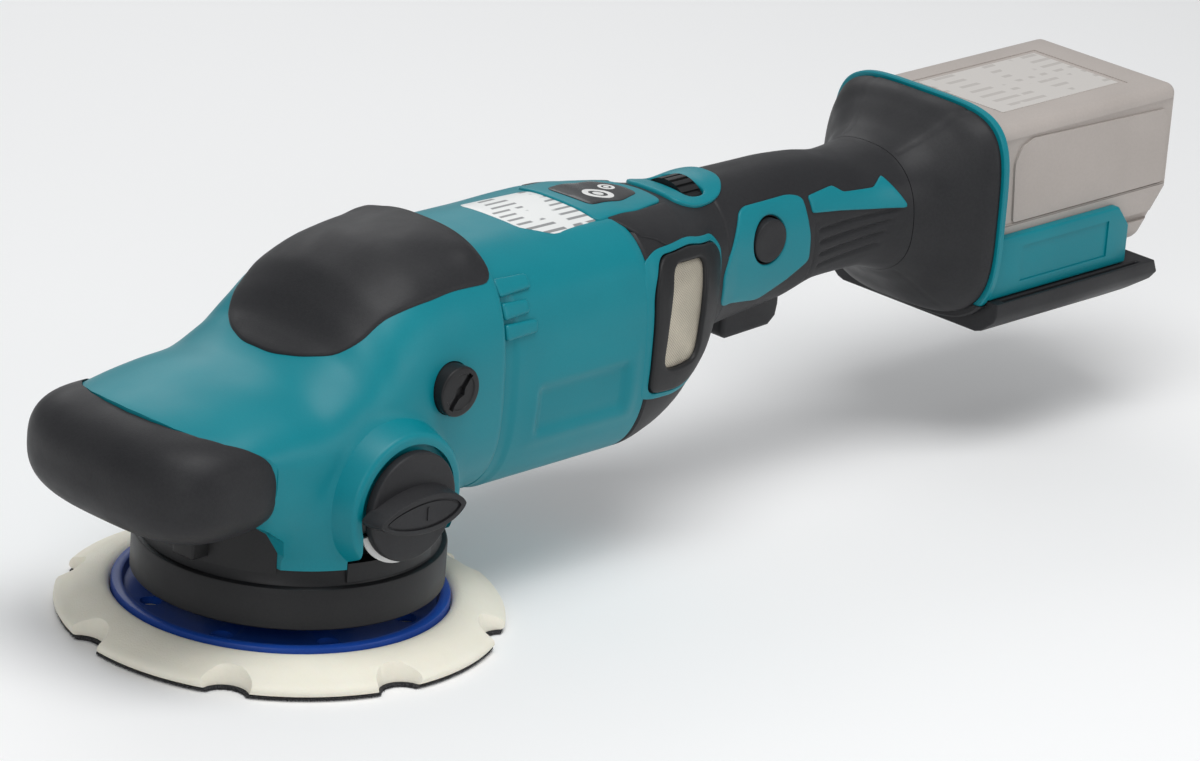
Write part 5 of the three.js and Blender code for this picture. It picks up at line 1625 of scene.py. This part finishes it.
# ------------------------------------------------------------------ dock and battery
@dataclass
class Dock:
    """The flared dock, its teal rim and tray, and the bumper below the battery."""

    flange_from: float = 300.3
    flange_to: float = 330.5
    rim_to: float = 334.0
    tray_to: float = 418.0
    tray_half: float = 41.5
    tray_top: float = 89.0
    battery_half: float = 37.9
    battery_low: float = 69.9

    def flange(self) -> Piece:
        """The rubber flare, with a moulding seam over its shoulder and a rounded rear edge."""
        xs = np.concatenate([[self.flange_from], np.arange(301, 330.0, 0.9), [330.1, self.flange_to]])

        def seam(x: np.ndarray, turn: np.ndarray) -> np.ndarray:
            """Two hair-line seams that run back over the flare, and the rolled edge."""
            points = BODY.bare(x, turn)
            line = 14 + 10 * blend_over(302, 330, x)
            over = np.exp(-((np.abs(points[:, 1]) - line) / 0.5) ** 2) * (points[:, 2] > 100)
            under = np.exp(-((np.abs(points[:, 1]) - line - 4) / 0.5) ** 2) * (points[:, 2] < 90)
            return -0.5 * (over + under) * blend_over(301, 304, x) - 0.8 * blend_over(329.2, 330.5, x)

        made = BODY.loft("dock_flare", xs, seam, 192)
        return smooth(made, 35.0)

    def plate(self, name: str, stations: Sequence[tuple[float, ...]]) -> Piece:
        """A closed plate through the given cross sections."""
        skin = Skin(stations)
        turn = np.arange(192) * 2 * math.pi / 192
        return stack(name, np.array([skin.bare(np.full(192, station[0]), turn) for station in stations]))

    def rim(self) -> Piece:
        """The thin teal plate behind the flare."""
        stations = tuple(
            (x, 46.4 - inset, 142 - inset, 52.2 + inset, 4.6, 3.4, 95)
            for x, inset in ((330.8, 0.5), (331.3, 0.0), (333.4, 0.0), (334.0, 0.6))
        )
        return smooth(self.plate("dock_plate", stations), 35.0)

    def collar(self) -> Piece:
        """The part of the bumper that wraps up round the lower edge of the teal plate."""
        stations = tuple(
            (x, 46.9 - inset, 142, 51.7 + inset, 4.6, 3.4, 95)
            for x, inset in ((330.3, 0.7), (331.0, 0.0), (334.4, 0.0), (335.0, 0.7))
        )
        return carve(self.plate("collar", stations), block("cut_collar", (320, -80, 62), (350, 80, FAR)))

    def tray(self) -> Piece:
        """The teal tray that the battery slides into: side walls with rails and a sloped nose."""
        half, bed = self.tray_half, self.battery_half
        made = block("dock_rails", (self.rim_to + 0.3, -half, 64), (self.tray_to, half, self.tray_top))
        carve(made, slab("cut_nose", Axis.Y, [(410, 90), (419, 90), (419, 79)], (-60, 60)))
        soften(made, 1.0, 3, 20.0)
        carve(made, block("cut_tray", (320, -bed, self.battery_low), (440, bed, 100)))
        for side in Side:
            lips = side.span(35.8, 39.0)
            carve(made, block("rail", (340, lips[0], 79.1), (416, lips[1], 80.9)), "UNION")
            step = side.span(half - 0.7, 60)
            carve(made, block("cut_step", (352, step[0], 69), (405, step[1], 84)))
        return smooth(made, 30.0)

    def bumper(self) -> Piece:
        """The rubber bumper: side walls that rise at the rear, a channel and a chamfered keel."""
        flank = [(46, 63.7), (46, 58.5), (44.5, 55.5), (38.5, 50.6), (35.5, 49.6)]
        across = [(-y, z) for y, z in flank] + flank[::-1]
        made = slab("bumper_block", Axis.X, across, (334.3, 434.0))
        along = [(330, 70), (330, 49), (404, 49), (408, 50.6), (420, 50.6), (424, 51.4), (431, 54.5),
                 (433.9, 58), (431.5, 63.7), (431, 70)]
        carve(made, slab("keep_along", Axis.Y, along, (-60, 60)), "INTERSECT")
        for side in Side:
            gap = side.span(42.2, 44.6)
            carve(made, block("cut_channel", (340, gap[0], 60.6), (424, gap[1], 70)))
        soften(made, 1.1, 3, 28.0)
        carve(made, self.collar(), "UNION")
        return smooth(made, 30.0)

    def build(self) -> None:
        """Makes the dock's pieces."""
        finished(self.flange(), RUBBER, "housing", "dock_flange")
        finished(self.rim(), TEAL, "housing", "dock_rim")
        finished(self.tray(), TEAL, "housing", "dock_tray")
        finished(self.bumper(), RUBBER, "housing", "rear_bumper")


@dataclass
class BatteryPack:
    """The slide-on battery: two grey mouldings, side panels, a label and the release button."""

    front: float = 335.0
    rear: float = 446.0
    half: float = 37.5
    low: float = 70.3
    top: float = 134.0
    split: float = 92.0

    def case(self) -> Piece:
        """The whole case, with rounded edges, rail grooves and a terminal pocket."""
        made = block("battery_case", (self.front, -self.half, self.low), (self.rear, self.half, self.top))
        carve(made, slab("cut_heel", Axis.Y, [(447, 69), (447, 91), (429, 69)], (-60, 60)))
        soften(made, 4.6, 6, 40.0)
        carve(made, block("cut_terminal", (330, -12, 60), (366, 12, 85.5)))
        for side in Side:
            groove = side.span(35.4, 60)
            carve(made, block("cut_rail", (330, groove[0], 78.4), (447, groove[1], 81.6)))
        carve(made, block("cut_button", (self.rear - 6, -11.5, 108), (self.rear + 2, 11.5, 126)))
        return made

    def upper(self, case: Piece) -> Piece:
        """The upper moulding, with raised side panels and a shallow label bed."""
        made = copied(case, "battery_top")
        carve(made, block("keep_upper", (300, -60, self.split + 0.15), (460, 60, 160)), "INTERSECT")
        panel = [(349, 93), (347, 118), (350.5, 124.5), (357, 127), (438, 124.5), (441, 119), (441, 93)]
        for side in Side:
            span = side.span(self.half - 0.9, 60)
            whole = block("panel_cut", (330, span[0], 92.4), (448, span[1], 128.5))
            keep = soften(slab("panel_keep", Axis.Y, panel, (-61, 61)), 1.2, 3, 20.0)
            carve(made, carve(whole, keep))
        carve(made, block("cut_label", (352, -25, self.top - 0.35), (428, 25, 160)))
        return smooth(made, 30.0)

    def lower(self, case: Piece) -> Piece:
        """The lower moulding."""
        carve(case, block("keep_lower", (300, -60, 0), (460, 60, self.split - 0.15)), "INTERSECT")
        return smooth(settle(case, "battery_base"), 30.0)

    def label(self) -> Piece:
        """The printed label on the flat top."""
        made = block("battery_sticker", (354, -22.5, self.top - 0.34), (425, 22.5, self.top - 0.12))
        with editing(made):
            pick(made, lambda middle, normal: normal.z > 0.9)
            bpy.ops.mesh.inset(thickness=1.2 * MM)
        return made

    def button(self) -> Piece:
        """The release button, with grip ridges."""
        made = block("release_button", (self.rear - 5.6, -11, 112), (self.rear + 0.9, 11, 125.5))
        soften(made, 0.9, 3)
        for i in range(4):
            z = 114.2 + i * 3.0
            carve(made, block("cut_ridge", (self.rear + 0.2, -8.5, z), (self.rear + 2, 8.5, z + 1.3)))
        return smooth(made, 30.0)

    def build(self) -> None:
        """Makes the battery's pieces on its body."""
        case = self.case()
        finished(self.upper(case), GREY, "battery", "battery_upper")
        finished(self.lower(case), GREY, "battery", "battery_lower")
        finished(self.label(), BATTERY_LABEL, "battery", slot="battery_grey")
        finished(self.button(), RUBBER, "battery_release", "battery_button")


# ------------------------------------------------------------------ what the CAD already shows
@dataclass
class Works:
    """The CAD nodes that stay in view or inside, each given its material."""

    steel: tuple[str, ...] = (
        "pad_spindle", "pad_bolt", "ring_gear", "eccentric_bearing", "drive_spindle", "bevel_gear",
        "bevel_pinion", "spindle_bearing_lower", "spindle_bearing_upper", "motor_bearing_front",
        "motor_bearing_rear", "motor_shaft", "mode_lock_pin", "trigger_spring", "housing_screw_1",
        "housing_screw_2", "housing_screw_3", "housing_screw_4", "housing_screw_5",
    )
    cast: tuple[str, ...] = ("balance_weight", "gear_case", "rotor")
    copper: tuple[str, ...] = ("motor_stator",)
    black: tuple[str, ...] = ("motor_fan", "switch_body", "terminal_block")
    board: tuple[str, ...] = ("controller_board",)
    wrap: tuple[str, ...] = ("battery_cells",)

    def build(self) -> None:
        """Gives every one its finish."""
        looks = (
            (self.steel, STEEL), (self.cast, CAST), (self.copper, COPPER), (self.black, BLACK),
            (self.board, BOARD), (self.wrap, WRAP),
        )
        for nodes, finish in looks:
            for node in nodes:
                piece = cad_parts[node]
                piece.data.materials.clear()
                piece.data.materials.append(finish.material())
                LOG.info("%s: %s", node, finish.name)


# ------------------------------------------------------------------ studio
@dataclass
class Studio:
    """A pale floor and soft lights round the tool."""

    where: Point = (-1.58625063, -1.46842725, 0.85956970)
    turn: tuple[float, float, float, float] = (0.76615836, 0.51334788, -0.24765613, -0.29688678)
    lens: float = 181.378

    def camera(self) -> None:
        """A long lens, from the front left and above."""
        data = bpy.data.cameras.new("camera")
        data.lens = self.lens
        data.sensor_width = 36.0
        data.clip_end = 50.0
        made = bpy.data.objects.new("camera", data)
        bpy.context.collection.objects.link(made)
        made.rotation_mode = "QUATERNION"
        made.rotation_quaternion = self.turn
        made.location = self.where
        bpy.context.scene.camera = made

    def floor(self) -> None:
        """A wide pale sheet under the pad."""
        deselect()
        bpy.ops.mesh.primitive_plane_add(size=12.0, location=(0, 0, -0.0002))
        sheet = bpy.context.object
        sheet.name = "floor"
        paint = Paint("floor")
        shade = paint.noise(900.0, 1.0).step(0.2, 0.8)
        paint.finish(paint.mix((0.93, 0.93, 0.93), (0.95, 0.95, 0.95), shade), 0.75, None)
        sheet.data.materials.append(paint.material)

    def lamp(self, name: str, where: Point, size: Flat, power: float) -> None:
        """A soft box that points at the middle of the tool."""
        data = bpy.data.lights.new(name, "AREA")
        data.shape = "RECTANGLE"
        data.size, data.size_y = size
        data.energy = power
        made = bpy.data.objects.new(name, data)
        bpy.context.collection.objects.link(made)
        made.location = where
        aim = Vector((0.0, 0.0, 0.08)) - made.location
        made.rotation_euler = aim.to_track_quat("-Z", "Y").to_euler()

    def lights(self) -> None:
        """A large top light, a front fill, a rear rim and an even pale surround."""
        self.lamp("top_box", (-0.2, -0.3, 1.5), (1.1, 0.8), 13.5)
        self.lamp("left_box", (-1.6, -0.9, 0.9), (0.8, 1.0), 5.2)
        self.lamp("front_box", (0.6, -1.7, 0.7), (0.9, 0.7), 4.6)
        self.lamp("rear_box", (0.6, 1.3, 1.0), (1.2, 0.8), 4.5)
        world = bpy.data.worlds.new("surround")
        world.use_nodes = True
        sky = world.node_tree.nodes["Background"]
        sky.inputs["Color"].default_value = (0.93, 0.95, 0.97, 1.0)
        sky.inputs["Strength"].default_value = 0.38
        bpy.context.scene.world = world
        bpy.context.scene.view_settings.view_transform = "Standard"
        bpy.context.scene.view_settings.look = "None"


def main() -> None:
    """Builds every sub-assembly in order, then the studio."""
    logging.basicConfig(level=logging.INFO, format="%(name)s %(message)s")
    studio = Studio()
    studio.camera()
    assemblies = (
        PolishingPad(), Head(), ModeKnob(), Skirt(), MotorHousing(), VentCovers(), Handle(), Controls(),
        Dock(), BatteryPack(), Works(),
    )
    for assembly in assemblies:
        LOG.info("building the %s", type(assembly).__name__)
        assembly.build()
    studio.floor()
    studio.lights()
    deselect()


if __name__ == "__main__":
    main()
